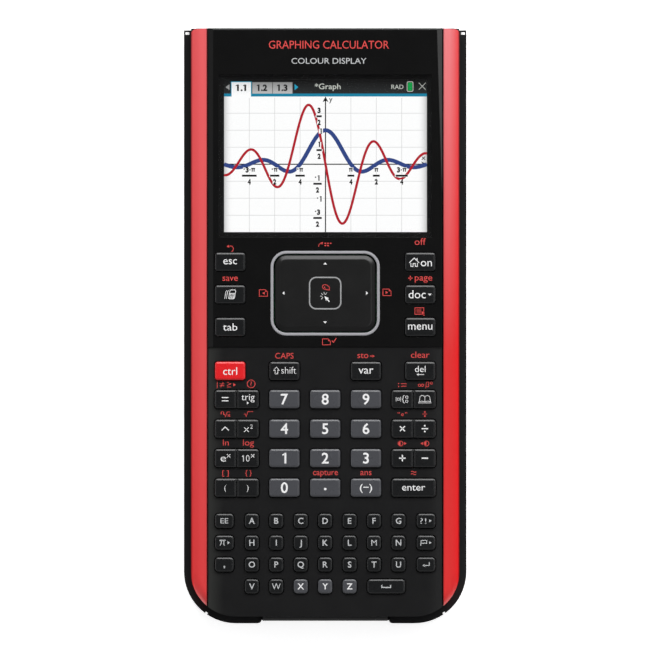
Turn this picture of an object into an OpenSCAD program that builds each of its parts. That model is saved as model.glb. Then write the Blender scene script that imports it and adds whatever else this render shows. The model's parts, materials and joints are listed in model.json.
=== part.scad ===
// Graphing calculator with a colour display, lying on its back in its slide-on case.
// Millimetres. +Z is up out of the face, +Y is towards the display, +X is to the right.
// The origin is under the middle of the whole, on the surface it lies on.

/* [Whole] */
// Width over the slide case
case_w = 90.6; // [90.6:0.1:92]
// Length from the case's keypad end to the body's display end
overall_l = 190.8; // [190:0.1:192]
// Radius of the case's two corners at the keypad end
case_corner_r = 16.66; // [16:0.01:17]
// How far the case stands out past the body all round, seen from above
case_rim = 2.25; // [2.2:0.01:2.4]
// Height of the face of the keypad
face_z = 16.3; // [16.2:0.1:17]

/* [Slide case] */
// Thickness of the case's floor
case_floor = 1.4; // [1.2:0.1:1.4]
// Thickness of the case's side wall
case_wall = 1.75; // [1.6:0.05:1.8]
// Top of the case's rim
case_top = 9.9; // [9.8:0.1:9.9]
// Width of the thumb cut-out at the keypad end
cutout_w = 41; // [40.8:0.1:42]
// How far short of the body's display end the case stops
case_end_gap = 0.6; // [0.4:0.1:2]

/* [Housing] */
// Height of the back of the body over the surface
back_z = 2.1; // [2:0.05:2.1]
// Wall thickness of the housings
wall = 1.6; // [1.4:0.1:1.6]
// Width of the face between the side trims
face_w = 75.0; // [74.8:0.1:75.2]
// Gap between the face and each side trim
trim_gap = 0.35; // [0.2:0.05:0.4]
// Where the glossy fascia ends and the matt keypad starts, along Y
fascia_end_y = -6.74; // [-7:0.01:-6.5]
// How far the fascia stands over the keypad face
fascia_step = 0.35; // [0.2:0.05:0.4]

/* [Display] */
// Width of the picture
picture_w = 65; // [64:0.1:65]
// Height of the picture
picture_h = 48.8; // [48:0.1:48.8]
// Middle of the picture along Y
picture_y = 54.46; // [54:0.01:55]

/* [Touchpad] */
// Width of the trim ring, outside
ring_w = 35.2; // [34.8:0.1:35.6]
// Height of the trim ring, outside
ring_h = 27.6; // [27.2:0.1:28]
// Middle of the trim ring along Y
ring_y = 10.5; // [10.3:0.05:10.7]
// Width of the ring's line
ring_line = 1.15; // [1:0.05:1.2]
// Depth of a press of the pad
pad_travel = 0.4; // [0.2:0.05:0.4]

/* [Keys] */
// Width of a standard keycap
key_w = 9.7; // [9:0.1:9.8]
// Height of a standard keycap
key_h = 5.85; // [5.5:0.05:6]
// Width of a two-ended rocker keycap and of the enter key
rocker_w = 14.15; // [13.6:0.05:14.3]
// Distance between columns of number keys
number_pitch = 13.07; // [12.8:0.01:13.2]
// Distance between rows of number keys
row_pitch = 9.45; // [9.3:0.01:9.5]
// First row of number keys along Y
number_row_y = -23.48; // [-23.8:0.01:-23.2]
// Row of the modifier keys along Y
modifier_row_y = -14.43; // [-14.8:0.01:-14.2]
// Middle of the outer column of standard keys
outer_key_x = 30.45; // [30.3:0.01:30.6]
// Middle of the rocker keys
rocker_x = 28.33; // [28.2:0.01:28.4]
// First of the three key rows beside the touchpad along Y
upper_row_y = 20.54; // [20.2:0.01:20.8]
// Distance between the key rows beside the touchpad
upper_row_pitch = 10.44; // [10.3:0.01:10.5]
// Top of the keycaps
key_top = 17.3; // [17.2:0.1:17.6]
// Depth of a key press
key_travel = 0.8; // [0.5:0.1:0.8]
// Clearance round a keycap in its hole
key_clearance = 0.25; // [0.2:0.05:0.3]

/* [Small keys] */
// Width of a letter key
letter_w = 4.5; // [4.3:0.1:4.6]
// Height of a letter key
letter_h = 4.55; // [4.4:0.05:4.6]
// Distance between letter columns
letter_pitch = 7.83; // [7.7:0.01:7.9]
// Distance between letter rows
letter_row_pitch = 7; // [6.9:0.05:7.1]
// First letter row along Y
letter_row_y = -62.45; // [-62.6:0.01:-62.3]
// Middle of the wider small keys at each side
side_key_x = 32.3; // [32:0.1:32.4]
// Width of those side keys
side_key_w = 6; // [5.8:0.1:6.1]
// Middle of the space key
space_x = 19.56; // [19.5:0.01:19.7]
// Width of the space key
space_w = 12.1; // [11.8:0.1:12.2]

/* [Screws] */
// Radius of a housing screw's thread
screw_r = 0.8; // [0.7:0.05:0.8]
// Radius of a screw head
screw_head_r = 1.5; // [1.4:0.05:1.5]

/* [Hidden] */
$fn = 48;
e = 0.01;

// Plan
top_y = overall_l / 2;
bottom_y = -overall_l / 2;
case_half = case_w / 2;
body_half = case_half - case_rim;
corner_r = case_corner_r - case_rim;
corner_x = case_half - case_corner_r;
corner_y = bottom_y + case_corner_r;
body_bottom_y = bottom_y + case_rim;
case_end_y = top_y - case_end_gap;
face_half = face_w / 2;
tongue_half = cutout_w / 2 - 0.5;
tongue_y = bottom_y + 0.8;

// Round edges and corners
case_edge_r = 2.4;
case_lip = 3.4;
rear_edge_r = 3;
trim_edge_r = 3;
key_r = 0.9;
letter_r = 1.1;
flange_r = 1.2;
ring_r = 5.2;
pad_r = 3.7;
key_bevel = 0.35;
pad_bevel = 0.6;

// Levels, from the back up
inner_z = back_z + 1.8;
door_top_z = back_z + 1.2;
groove_z0 = 8;
groove_z1 = 10.2;
groove_depth = 1.65;
board_z0 = 8.9;
board_z1 = 10.1;
membrane_z1 = 10.9;
dome_z1 = 11.7;
panel_z0 = 12;
plate_z = 14.4;
fascia_z0 = 15.4;
fascia_z1 = face_z + fascia_step;
trim_z0 = 12;
trim_z1 = face_z - 0.1;

// Window in the housing under the display window
opening_w = picture_w + 1.4;
opening_h = picture_h + 1.4;
window_lap = 1;

// Keys: a flange under the face holds each one in, and a plunger reaches down to its dome
number_x = [-number_pitch, 0, number_pitch];
flange = 0.6;
wide_flange = 0.3;
letter_flange = 0.4;
flange_z0 = 13.4;
flange_z1 = 14.2;
plunger_z = dome_z1 + key_travel + 0.1;
rocker_flange_z0 = 12.9;
rocker_flange_z1 = 13.6;
rocker_plunger_x = 4.3;
rocker_groove_w = 0.3;
rocker_groove_depth = 0.25;
dome_r = 2.4;
small_dome_r = 1.7;
letter_y = [for (i = [0:3]) letter_row_y - i * letter_row_pitch];
number_y = [for (i = [0:3]) number_row_y - i * row_pitch];
upper_y = [for (i = [0:2]) upper_row_y - i * upper_row_pitch];

// Touchpad
pad_gap = 0.32;
pad_w = ring_w - 2 * ring_line - 2 * pad_gap;
pad_h = ring_h - 2 * ring_line - 2 * pad_gap;
pad_top = 17;
pad_z0 = 14.35;
sensor_z0 = 12.9;
sensor_z1 = 13.7;
carrier_z0 = membrane_z1 + pad_travel + 0.45;
carrier_z1 = 12.4;

// Screws: [x, y] of the ones on the right, repeated on the left
screw_spots = [[33.2, 90], [21.5, 15.3], [19.74, -37.65], [29.8, -87.6]];
screw_gap = 0.15;
screw_seat_z = 5.1;
boss_r = 1.9;
rear_boss_r = 2.6;
door_screw = [12.5, -43.2];

// Battery bay
door_half = 17;
door_y0 = -46.4;
door_y1 = 14;
bay_half = 15.6;
bay_y0 = -39;
bay_y1 = 12.4;

reset_spot = [20, 40];
reset_r = 1.4;
feet_spots = [[32, 78], [32, -66]];
foot_r = 4;

// Status light in the display end
light_x = 9;
light_z = 7;
light_r = 0.9;

// ---------- shared shapes ----------

module both_sides() {
    children();
    mirror([1, 0, 0]) children();
}

// A rectangle with round corners, about its middle
module round_rect(w, h, r) {
    square([w - 2 * r, h], center = true);
    square([w, h - 2 * r], center = true);
    for (x = [-1, 1], y = [-1, 1])
        translate([x * (w / 2 - r), y * (h / 2 - r)]) circle(r);
}

// The body's plan: straight sides, square display end, round corners at the keypad end
module plan(half, y1, y0, r) {
    translate([-half, y0 + r]) square([2 * half, y1 - y0 - r]);
    translate([-half + r, y0]) square([2 * (half - r), r + e]);
    for (x = [-1, 1]) translate([x * (half - r), y0 + r]) circle(r);
}

// The same plan, moved in by the same distance all round
module body_plan(inset, end_inset = 0) {
    plan(body_half - inset, top_y - end_inset, body_bottom_y + inset, corner_r - inset);
}

module slab(z0, z1) {
    translate([0, 0, z0]) linear_extrude(z1 - z0) children();
}

// A section in (distance from the corner's centre, height), swept down one side, round the
// corner, along the keypad end and back up the other side
module sweep_u(y1) {
    both_sides() {
        translate([corner_x, y1, 0]) rotate([90, 0, 0]) linear_extrude(y1 - corner_y) children();
        translate([corner_x, corner_y, 0]) rotate([0, 0, -90]) rotate_extrude(angle = 90) children();
    }
    translate([corner_x, corner_y, 0]) rotate([0, 0, -90]) rotate([90, 0, 0])
        linear_extrude(2 * corner_x) children();
}

// A rounded block with its top edges bevelled
module bevelled_block(w, h, r, z0, z1, bevel) {
    intersection() {
        slab(z0, z1) round_rect(w, h, r);
        rotate([90, 0, 0]) linear_extrude(2 * h, center = true) bevel_section(w, z0, z1, bevel);
        rotate([90, 0, 90]) linear_extrude(2 * w, center = true) bevel_section(h, z0, z1, bevel);
    }
}

module bevel_section(w, z0, z1, bevel) {
    polygon([[-w / 2 - e, z0 - 1], [w / 2 + e, z0 - 1], [w / 2 + e, z1 - bevel], [w / 2 - bevel, z1],
             [-w / 2 + bevel, z1], [-w / 2 - e, z1 - bevel]]);
}

// ---------- key layout ----------

// Every hole in the keypad, one size smaller or larger by grow all round
module key_openings(grow) {
    for (x = [-1, 1], y = upper_y)
        translate([x * outer_key_x, y]) key_outline(key_w, key_h, key_r, grow);
    for (x = [-outer_key_x, -number_pitch, number_pitch, outer_key_x])
        translate([x, modifier_row_y]) key_outline(key_w, key_h, key_r, grow);
    for (x = number_x, y = number_y) translate([x, y]) key_outline(key_w, key_h, key_r, grow);
    for (x = [-1, 1], y = number_y)
        translate([x * rocker_x, y]) key_outline(rocker_w, key_h, key_r, grow);
}

module letter_openings(grow) {
    for (row = [0:3]) letter_row_outlines(row, grow);
}

module letter_row_outlines(row, grow) {
    columns = row < 3 ? 7 : 5;
    for (i = [0:columns - 1])
        translate([(i - 3) * letter_pitch, letter_y[row]]) key_outline(letter_w, letter_h, letter_r, grow);
    if (row < 3)
        for (x = [-1, 1])
            translate([x * side_key_x, letter_y[row]])
                key_outline(side_key_w, letter_h, letter_r, grow);
    else
        translate([space_x, letter_y[row]]) key_outline(space_w, letter_h, letter_r, grow);
}

module key_outline(w, h, r, grow) {
    round_rect(w + 2 * grow, h + 2 * grow, r + grow);
}

// ---------- keycaps ----------

module keycap(x, y, w = key_w, side_flange = flange, tint = "#202224") {
    color(tint) translate([x, y, 0]) {
        bevelled_block(w, key_h, key_r, flange_z0, key_top, key_bevel);
        slab(flange_z0, flange_z1) round_rect(w + 2 * side_flange, key_h + 2 * flange, flange_r);
        slab(plunger_z, flange_z0 + e) round_rect(3.4, 2.2, 0.6);
    }
}

// Two legends on one cap, with a groove across the middle; each end has its own plunger
module rocker_cap(x, y, tint = "#202224") {
    color(tint) translate([x, y, 0]) {
        difference() {
            bevelled_block(rocker_w, key_h, key_r, rocker_flange_z0, key_top, key_bevel);
            translate([-rocker_groove_w / 2, -key_h, key_top - rocker_groove_depth])
                cube([rocker_groove_w, 2 * key_h, 1]);
        }
        slab(rocker_flange_z0, rocker_flange_z1)
            round_rect(rocker_w + 2 * wide_flange, key_h + 2 * flange, flange_r);
        for (side = [-1, 1]) translate([side * rocker_plunger_x, 0, 0])
            slab(plunger_z, rocker_flange_z0 + e) round_rect(2.6, 2.2, 0.6);
    }
}

module small_cap(x, row, w, tint = "#1f1f1f") {
    color(tint) translate([x, letter_y[row], 0]) {
        bevelled_block(w, letter_h, letter_r, flange_z0, key_top, key_bevel);
        slab(flange_z0, flange_z1)
            round_rect(w + 2 * letter_flange, letter_h + 2 * letter_flange, letter_r + 0.2);
        slab(plunger_z, flange_z0 + e) circle(0.9);
    }
}

module letter_row(row) {
    columns = row < 3 ? 7 : 5;
    for (i = [0:columns - 1])
        small_cap((i - 3) * letter_pitch, row, letter_w, row == 3 && i > 1 ? "#4b4d4f" : "#1f1f1f");
    if (row < 3)
        for (x = [-1, 1]) small_cap(x * side_key_x, row, side_key_w, "#202322");
    else
        small_cap(space_x, row, space_w, "#202322");
}

module number_key(column, row) {
    keycap(number_x[column], number_y[row], tint = "#4b4d4f");
}

// ---------- slide case ----------

module case_section() {
    outer = case_corner_r;
    inner = outer - case_wall;
    rim = outer - case_lip;
    rim_z0 = groove_z0 + 0.3;
    difference() {
        union() {
            translate([inner, case_edge_r]) square([case_wall, case_top - case_edge_r]);
            translate([inner - 3, 0]) square([3 + case_wall - case_edge_r, case_floor]);
            translate([outer - case_edge_r, case_edge_r]) circle(case_edge_r);
            translate([rim, rim_z0]) square([outer - rim, case_top - rim_z0]);
        }
        translate([inner - 4, case_floor]) square([4, rim_z0 - case_floor]);
    }
}

module slide_case() {
    color("#1d1d1d") difference() {
        union() {
            sweep_u(case_end_y) case_section();
            slab(0, case_floor)
                plan(case_half - 4, case_end_y, bottom_y + 4, case_corner_r - 4);
        }
        // thumb cut-out, with the body's end showing in it
        translate([0, bottom_y, 0]) rotate([90, 0, 0]) linear_extrude(8, center = true) {
            translate([0, 12.4]) round_rect(cutout_w, 20, 1.6);
        }
        slab(-1, 12) translate([-cutout_w / 2, bottom_y - 2]) square([cutout_w, 2 + 0.85]);
        both_sides() {
            // relief notch where the side rail meets the end wall
            translate([38.15, bottom_y + 3.2, -1]) rotate([0, 0, 35])
                cube([0.8, 0.8, 30], center = true);
            // slot in the rail's display end
            translate([case_half - 1.7, case_end_y - 1.4, -1]) cube([1.25, 0.9, 12]);
        }
    }
}

// ---------- housings ----------

module rear_section() {
    outer = corner_r - 0.05;
    groove = corner_r - groove_depth;
    round_r = rear_edge_r;
    shelf = 1.4;
    difference() {
        union() {
            translate([outer - 6, back_z]) square([6 - round_r, inner_z - back_z]);
            translate([outer - round_r, back_z + round_r]) circle(round_r);
            translate([outer - round_r - 1.6, back_z]) square([1.6, round_r]);
            translate([outer - wall, back_z + round_r]) square([wall, groove_z0 - back_z - round_r]);
            translate([groove - wall, groove_z0 - shelf]) square([outer - groove + wall, shelf]);
            translate([groove - wall, groove_z0 - e]) square([wall, groove_z1 - groove_z0 + e]);
        }
        translate([outer - 8, inner_z]) square([8 - wall, groove_z0 - shelf - inner_z]);
    }
}

module rear_tongue() {
    translate([0, tongue_y, 0]) rotate([90, 0, 90]) linear_extrude(2 * tongue_half, center = true)
        polygon([[2.95, back_z + 0.4], [1.6, back_z + 0.4], [0, back_z + 2], [0, groove_z1],
                 [2.95, groove_z1]]);
}

module rear_housing() {
    color("#222324") difference() {
        union() {
            difference() {
                union() {
                    sweep_u(top_y) rear_section();
                    slab(back_z, inner_z) plan(body_half - 5, top_y, body_bottom_y + 5, corner_r - 5);
                    // end wall at the display end
                    translate([-(body_half - 1.7), top_y - wall, back_z])
                        cube([2 * (body_half - 1.7), wall, groove_z1 - back_z]);
                }
                // the body's back edge is bevelled at the display end
                translate([0, top_y, back_z]) rotate([45, 0, 0]) cube([2 * case_w, 2.4, 2.4], center = true);
            }
            rear_tongue();
            for (s = screw_spots)
                both_sides() translate([s[0], s[1], 0]) slab(inner_z - e, board_z1) circle(rear_boss_r);
            both_sides() translate([door_screw[0], door_screw[1], 0])
                slab(inner_z - e, inner_z + 3) circle(2);
            // posts that carry the board
            for (x = [-1, 1], y = [-70, -20, 30, 70])
                translate([x * 31.5, y, 0]) slab(inner_z - e, board_z0) circle(1.4);
            // guide for the reset button
            translate([reset_spot[0], reset_spot[1], 0]) slab(inner_z - e, 6.4) circle(3.4);
        }
        for (s = screw_spots) both_sides() translate([s[0], s[1], 0]) {
            slab(0, screw_seat_z) circle(screw_head_r + screw_gap);
            slab(0, 20) circle(screw_r + screw_gap);
        }
        // seat for the battery door, and the bay behind it
        slab(0, door_top_z) translate([-door_half - 0.15, door_y0 - 0.15])
            square([2 * door_half + 0.3, door_y1 - door_y0 + 0.3]);
        slab(0, 5) translate([-bay_half, bay_y0]) square([2 * bay_half, bay_y1 - bay_y0]);
        both_sides() translate([door_screw[0], door_screw[1], 0])
            slab(door_top_z - e, 6.2) circle(screw_r);
        // reset button's hole
        translate([reset_spot[0], reset_spot[1], 0]) {
            slab(0, 20) circle(reset_r + 0.2);
            slab(4.2, 20) circle(reset_r + 1.1);
        }
        for (s = feet_spots) both_sides()
            translate([s[0], s[1], 0]) slab(0, back_z + 0.6) circle(foot_r + 0.1);
        // socket and light at the display end, contacts at the keypad end
        translate([-4.1, top_y - 4, 4.8]) cube([8.2, 5, 4.2]);
        translate([light_x, top_y + 1, light_z]) rotate([90, 0, 0]) cylinder(r = light_r + 0.1, h = 5);
        translate([-9.4, tongue_y - 1, 4.6]) cube([18.8, 8, 3.2]);
    }
}

module front_flange() {
    slab(groove_z1, trim_z0) body_plan(1.75, 0);
}

module front_tongue() {
    translate([0, tongue_y, 0]) rotate([90, 0, 90]) linear_extrude(2 * tongue_half, center = true)
        intersection() {
            translate([7.4, groove_z1]) circle(7.4);
            translate([0, groove_z1]) square([3, 5]);
        }
}

module front_housing() {
    color("#1f1f20") difference() {
        union() {
            difference() {
                union() {
                    front_flange();
                    intersection() {
                        slab(groove_z1, face_z) body_plan(0);
                        translate([-face_half, bottom_y, 0]) cube([face_w, overall_l, 30]);
                    }
                    front_tongue();
                }
                intersection() {
                    slab(groove_z1 - 1, plate_z) body_plan(wall, wall);
                    translate([-face_half + wall, bottom_y, 0])
                        cube([face_w - 2 * wall, overall_l, 30]);
                }
            }
            for (s = screw_spots)
                both_sides() translate([s[0], s[1], 0]) slab(board_z1, plate_z + e) circle(boss_r);
        }
        for (s = screw_spots)
            both_sides() translate([s[0], s[1], 0]) slab(board_z1 - 1, 13.5) circle(screw_r);
        // seat for the fascia
        slab(fascia_z0, 30) translate([-face_half - 1, fascia_end_y])
            square([face_w + 2, top_y - fascia_end_y + 1]);
        // display opening
        translate([0, picture_y, 0]) slab(10, 30) square([opening_w, opening_h], center = true);
        translate([0, ring_y, 0]) slab(10, 30) round_rect(pad_w + 1, pad_h + 1, 4);
        slab(10, 30) key_openings(key_clearance);
        slab(10, 30) letter_openings(key_clearance);
        translate([light_x, top_y + 1, light_z]) rotate([90, 0, 0]) cylinder(r = light_r + 0.1, h = 5);
    }
}

module upper_fascia() {
    color("#161616") slab(fascia_z0, fascia_z1) difference() {
        translate([-face_half, fascia_end_y]) square([face_w, top_y - fascia_end_y]);
        window_plan();
        translate([0, ring_y]) round_rect(ring_w, ring_h, ring_r);
        key_openings(key_clearance);
    }
}

module window_plan() {
    translate([0, picture_y])
        square([opening_w + 2 * window_lap, opening_h + 2 * window_lap], center = true);
}

module display_window() {
    color([0.1, 0.1, 0.1, 0.3]) slab(fascia_z0, fascia_z1) window_plan();
}

// Section of a side trim: a flat top, a round outer edge and a skirt over the housing's flange
module trim_section() {
    outer = corner_r;
    inner = face_half + trim_gap - corner_x;
    skirt = outer - groove_depth;
    round_r = trim_edge_r;
    translate([inner, trim_z0]) square([outer - round_r - inner, trim_z1 - trim_z0]);
    intersection() {
        translate([outer - round_r, trim_z1 - round_r]) circle(round_r);
        translate([inner, trim_z0]) square([outer - inner, trim_z1 - trim_z0]);
    }
    translate([skirt, groove_z1]) square([outer - skirt, trim_z1 - round_r - groove_z1]);
}

module side_trim() {
    inner = face_half + trim_gap;
    intersection() {
        union() {
            translate([corner_x, top_y, 0]) rotate([90, 0, 0])
                linear_extrude(top_y - corner_y) trim_section();
            translate([corner_x, corner_y, 0]) rotate([0, 0, -90])
                rotate_extrude(angle = 90) trim_section();
        }
        translate([inner, bottom_y, 0]) cube([30, overall_l, 30]);
    }
}

module side_trim_right() {
    color("#d84345") side_trim();
}

module side_trim_left() {
    color("#d84345") mirror([1, 0, 0]) side_trim();
}

// ---------- inside ----------

// The board is narrower at its display end, between the corner screws
module board_plan() {
    intersection() {
        body_plan(4.05, 2.8);
        union() {
            translate([-34.8, bottom_y]) square([69.6, 86.5 - bottom_y]);
            translate([-29.8, 80]) square([59.6, 20]);
        }
    }
}

module main_board() {
    color("#1f5c3a") slab(board_z0, board_z1) difference() {
        board_plan();
        boss_holes();
    }
}

// Holes that let the screw bosses through
module boss_holes() {
    for (s = screw_spots) both_sides() translate([s[0], s[1]]) circle(rear_boss_r + 0.2);
}

module chip(x, y, w, h, t) {
    translate([x - w / 2, y - h / 2, board_z0 - t]) cube([w, h, t]);
}

module board_components() {
    color("#3a3b3d") {
        chip(-8, 52, 30, 24, 1.8);
        chip(20, 60, 9, 12, 1.1);
        chip(-25, -60, 10, 8, 1);
        chip(0, -70, 12, 12, 1.2);
        chip(24, -62, 7, 5, 1);
        // the reset switch, over the reset button
        chip(reset_spot[0], reset_spot[1], 4, 4, 1.3);
    }
}

module keypad_membrane() {
    color("#8b8f93") {
        slab(board_z1, membrane_z1) difference() {
            intersection() {
                board_plan();
                translate([-40, -100]) square([80, 124]);
            }
            translate([0, ring_y]) square([pad_w + 4, pad_h + 3], center = true);
            boss_holes();
        }
        // domes, as they are when pressed flat
        for (x = [-1, 1], y = upper_y) dome(x * outer_key_x, y, dome_r);
        for (x = [-outer_key_x, -number_pitch, number_pitch, outer_key_x])
            dome(x, modifier_row_y, dome_r);
        for (x = number_x, y = number_y) dome(x, y, dome_r);
        for (x = [-1, 1], side = [-1, 1], y = number_y)
            if (x < 0 || y > number_y[3] + 1)
                dome(x * rocker_x + side * rocker_plunger_x, y, dome_r - 0.2);
        dome(rocker_x, number_y[3], dome_r);
        for (row = [0:3], i = [0:row < 3 ? 6 : 4])
            dome((i - 3) * letter_pitch, letter_y[row], small_dome_r);
        for (row = [0:2], x = [-1, 1]) dome(x * side_key_x, letter_y[row], small_dome_r);
        dome(space_x, letter_y[3], small_dome_r);
    }
}

module dome(x, y, r) {
    translate([x, y, membrane_z1 - e]) cylinder(r1 = r, r2 = r - 0.7, h = dome_z1 - membrane_z1 + e);
}

module display_panel() {
    color("#e8eaec") slab(panel_z0, plate_z) panel_plan(0);
}

// The panel's outline, made larger or smaller by grow all round
module panel_plan(grow) {
    translate([0, picture_y])
        square([picture_w + 3.4 + 2 * grow, picture_h + 4.2 + 2 * grow], center = true);
}

module display_frame() {
    color("#a9adb0") difference() {
        slab(panel_z0 - 0.6, plate_z) panel_plan(1.2);
        slab(panel_z0, 20) panel_plan(0);
        slab(10, 20) panel_plan(-4.2);
    }
}

module battery_pack() {
    color("#5f6a78") slab(door_top_z, 8)
        translate([0, (bay_y0 + bay_y1) / 2]) round_rect(2 * bay_half - 1, bay_y1 - bay_y0 - 1, 1.5);
}

module battery_door() {
    color("#232425") difference() {
        slab(back_z, door_top_z) translate([-door_half, door_y0]) square([2 * door_half, door_y1 - door_y0]);
        both_sides() translate([door_screw[0], door_screw[1], 0]) {
            slab(0, back_z + 0.75) circle(screw_head_r + screw_gap);
            slab(0, 10) circle(screw_r + screw_gap);
        }
        // finger grip
        for (i = [0:4]) translate([0, 3 + 1.6 * i, back_z]) cube([14, 0.7, 0.8], center = true);
    }
}

// A screw with its head down at z0: a cross recess in a low head, then the thread
module screw(z0, head_h, tip_z) {
    difference() {
        slab(z0, z0 + head_h) circle(screw_head_r);
        for (turn = [0, 90]) rotate([0, 0, turn])
            translate([0, 0, z0]) cube([1.7, 0.4, head_h], center = true);
    }
    slab(z0 + head_h - e, tip_z) circle(screw_r);
}

module housing_screws() {
    color("#8d9094") for (s = screw_spots)
        both_sides() translate([s[0], s[1], 0]) screw(screw_seat_z - 1, 1, 13.3);
}

module battery_door_screws() {
    color("#8d9094") both_sides()
        translate([door_screw[0], door_screw[1], 0]) screw(back_z + 0.05, 0.7, 6);
}

module battery_lead() {
    color("#b03a32") {
        // plug and socket on the board, and three wires held side by side
        translate([-4, 20, 6.2]) cube([8, 4.2, board_z0 - 6.2]);
        for (i = [-1:1]) translate([i * 1.4, 20, 7.2]) rotate([90, 0, 0])
            cylinder(r = 0.55, h = 20 - bay_y1 + 0.5);
    }
}

module usb_socket() {
    color("#b8babd") difference() {
        translate([-3.85, top_y - 9.2, 4.95]) cube([7.7, 8.9, board_z0 - 4.95]);
        translate([-3.4, top_y - 7.5, 5.4]) cube([6.8, 9, 3.05]);
    }
    color("#18191a") translate([-2.2, top_y - 7.6, 6.5]) cube([4.4, 5.6, 0.9]);
}

module status_light() {
    color("#cfd6d2") translate([light_x, top_y - 0.1, light_z]) rotate([90, 0, 0])
        cylinder(r = light_r, h = 5.9);
}

module dock_connector() {
    color("#151617") translate([-9.2, tongue_y + 0.4, 4.7]) cube([18.4, 5.6, 3]);
    color("#c9a955") for (i = [0:9])
        translate([(i - 4.5) * 1.7 - 0.45, tongue_y + 0.2, 5.2]) cube([0.9, 0.3, 2]);
}

module rubber_feet() {
    color("#101010") for (s = feet_spots)
        both_sides() translate([s[0], s[1], 0]) slab(back_z - 0.5, back_z + 0.6) circle(foot_r);
}

module reset_button() {
    color("#3d3f41") translate([reset_spot[0], reset_spot[1], 0]) {
        slab(back_z + 0.3, 6.9) circle(reset_r);
        slab(4.3, 5.1) circle(reset_r + 0.9);
    }
}

// ---------- touchpad ----------

module touchpad_trim_ring() {
    color("#9c9c9e") translate([0, ring_y, 0]) slab(fascia_z0, fascia_z1 + 0.25) difference() {
        round_rect(ring_w, ring_h, ring_r);
        round_rect(ring_w - 2 * ring_line, ring_h - 2 * ring_line, ring_r - ring_line);
    }
}

module touchpad_cover() {
    color("#222222") translate([0, ring_y, 0]) difference() {
        bevelled_block(pad_w, pad_h, pad_r, pad_z0, pad_top, pad_bevel);
        slab(pad_z0 - 1, pad_z0 + 0.85) round_rect(pad_w - 3, pad_h - 3, 2.4);
    }
}

module touchpad_sensor_board() {
    color("#1f5c3a") translate([0, ring_y, 0])
        slab(sensor_z0, sensor_z1) round_rect(pad_w + 2.2, pad_h + 1.8, 2);
}

module touchpad_carrier() {
    color("#46484b") translate([0, ring_y, 0]) slab(carrier_z0, carrier_z1) difference() {
        round_rect(pad_w + 1, pad_h + 0.6, 2);
        round_rect(pad_w - 8, pad_h - 8, 2);
    }
}

// ---------- named keys ----------

module key_escape() { keycap(-outer_key_x, upper_y[0]); }
module key_scratchpad() { keycap(-outer_key_x, upper_y[1]); }
module key_tab() { keycap(-outer_key_x, upper_y[2]); }
module key_on() { keycap(outer_key_x, upper_y[0]); }
module key_document() { keycap(outer_key_x, upper_y[1]); }
module key_menu() { keycap(outer_key_x, upper_y[2]); }
module key_ctrl() { keycap(-outer_key_x, modifier_row_y, tint = "#da2b2d"); }
module key_shift() { keycap(-number_pitch, modifier_row_y); }
module key_var() { keycap(number_pitch, modifier_row_y); }
module key_delete() { keycap(outer_key_x, modifier_row_y); }
module key_equals_trig() { rocker_cap(-rocker_x, number_y[0]); }
module key_power_square() { rocker_cap(-rocker_x, number_y[1]); }
module key_exponentials() { rocker_cap(-rocker_x, number_y[2]); }
module key_brackets() { rocker_cap(-rocker_x, number_y[3]); }
module key_template_catalog() { rocker_cap(rocker_x, number_y[0]); }
module key_times_divide() { rocker_cap(rocker_x, number_y[1]); }
module key_plus_minus() { rocker_cap(rocker_x, number_y[2]); }
module key_enter() { keycap(rocker_x, number_y[3], rocker_w, wide_flange); }
module key_7() { number_key(0, 0); }
module key_8() { number_key(1, 0); }
module key_9() { number_key(2, 0); }
module key_4() { number_key(0, 1); }
module key_5() { number_key(1, 1); }
module key_6() { number_key(2, 1); }
module key_1() { number_key(0, 2); }
module key_2() { number_key(1, 2); }
module key_3() { number_key(2, 2); }
module key_0() { number_key(0, 3); }
module key_point() { number_key(1, 3); }
module key_negate() { number_key(2, 3); }
module letter_keys_row_1() { letter_row(0); }
module letter_keys_row_2() { letter_row(1); }
module letter_keys_row_3() { letter_row(2); }
module letter_keys_row_4() { letter_row(3); }

front_housing();
upper_fascia();
display_window();
side_trim_left();
side_trim_right();
rear_housing();
battery_door();
battery_pack();
battery_lead();
main_board();
board_components();
keypad_membrane();
display_panel();
display_frame();
usb_socket();
status_light();
dock_connector();
rubber_feet();
housing_screws();
battery_door_screws();
reset_button();
slide_case();
touchpad_trim_ring();
touchpad_carrier();
touchpad_sensor_board();
touchpad_cover();
key_escape();
key_scratchpad();
key_tab();
key_on();
key_document();
key_menu();
key_ctrl();
key_shift();
key_var();
key_delete();
key_equals_trig();
key_power_square();
key_exponentials();
key_brackets();
key_template_catalog();
key_times_divide();
key_plus_minus();
key_enter();
key_7();
key_8();
key_9();
key_4();
key_5();
key_6();
key_1();
key_2();
key_3();
key_0();
key_point();
key_negate();
letter_keys_row_1();
letter_keys_row_2();
letter_keys_row_3();
letter_keys_row_4();
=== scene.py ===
"""Looks of a graphing calculator with a colour display, lying in its slide-on case.

Lengths are in millimetres until a mesh or a lamp is made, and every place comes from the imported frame
or from the key layout below. +Z is up out of the face, +Y is towards the display.
"""
import json
import math

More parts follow.
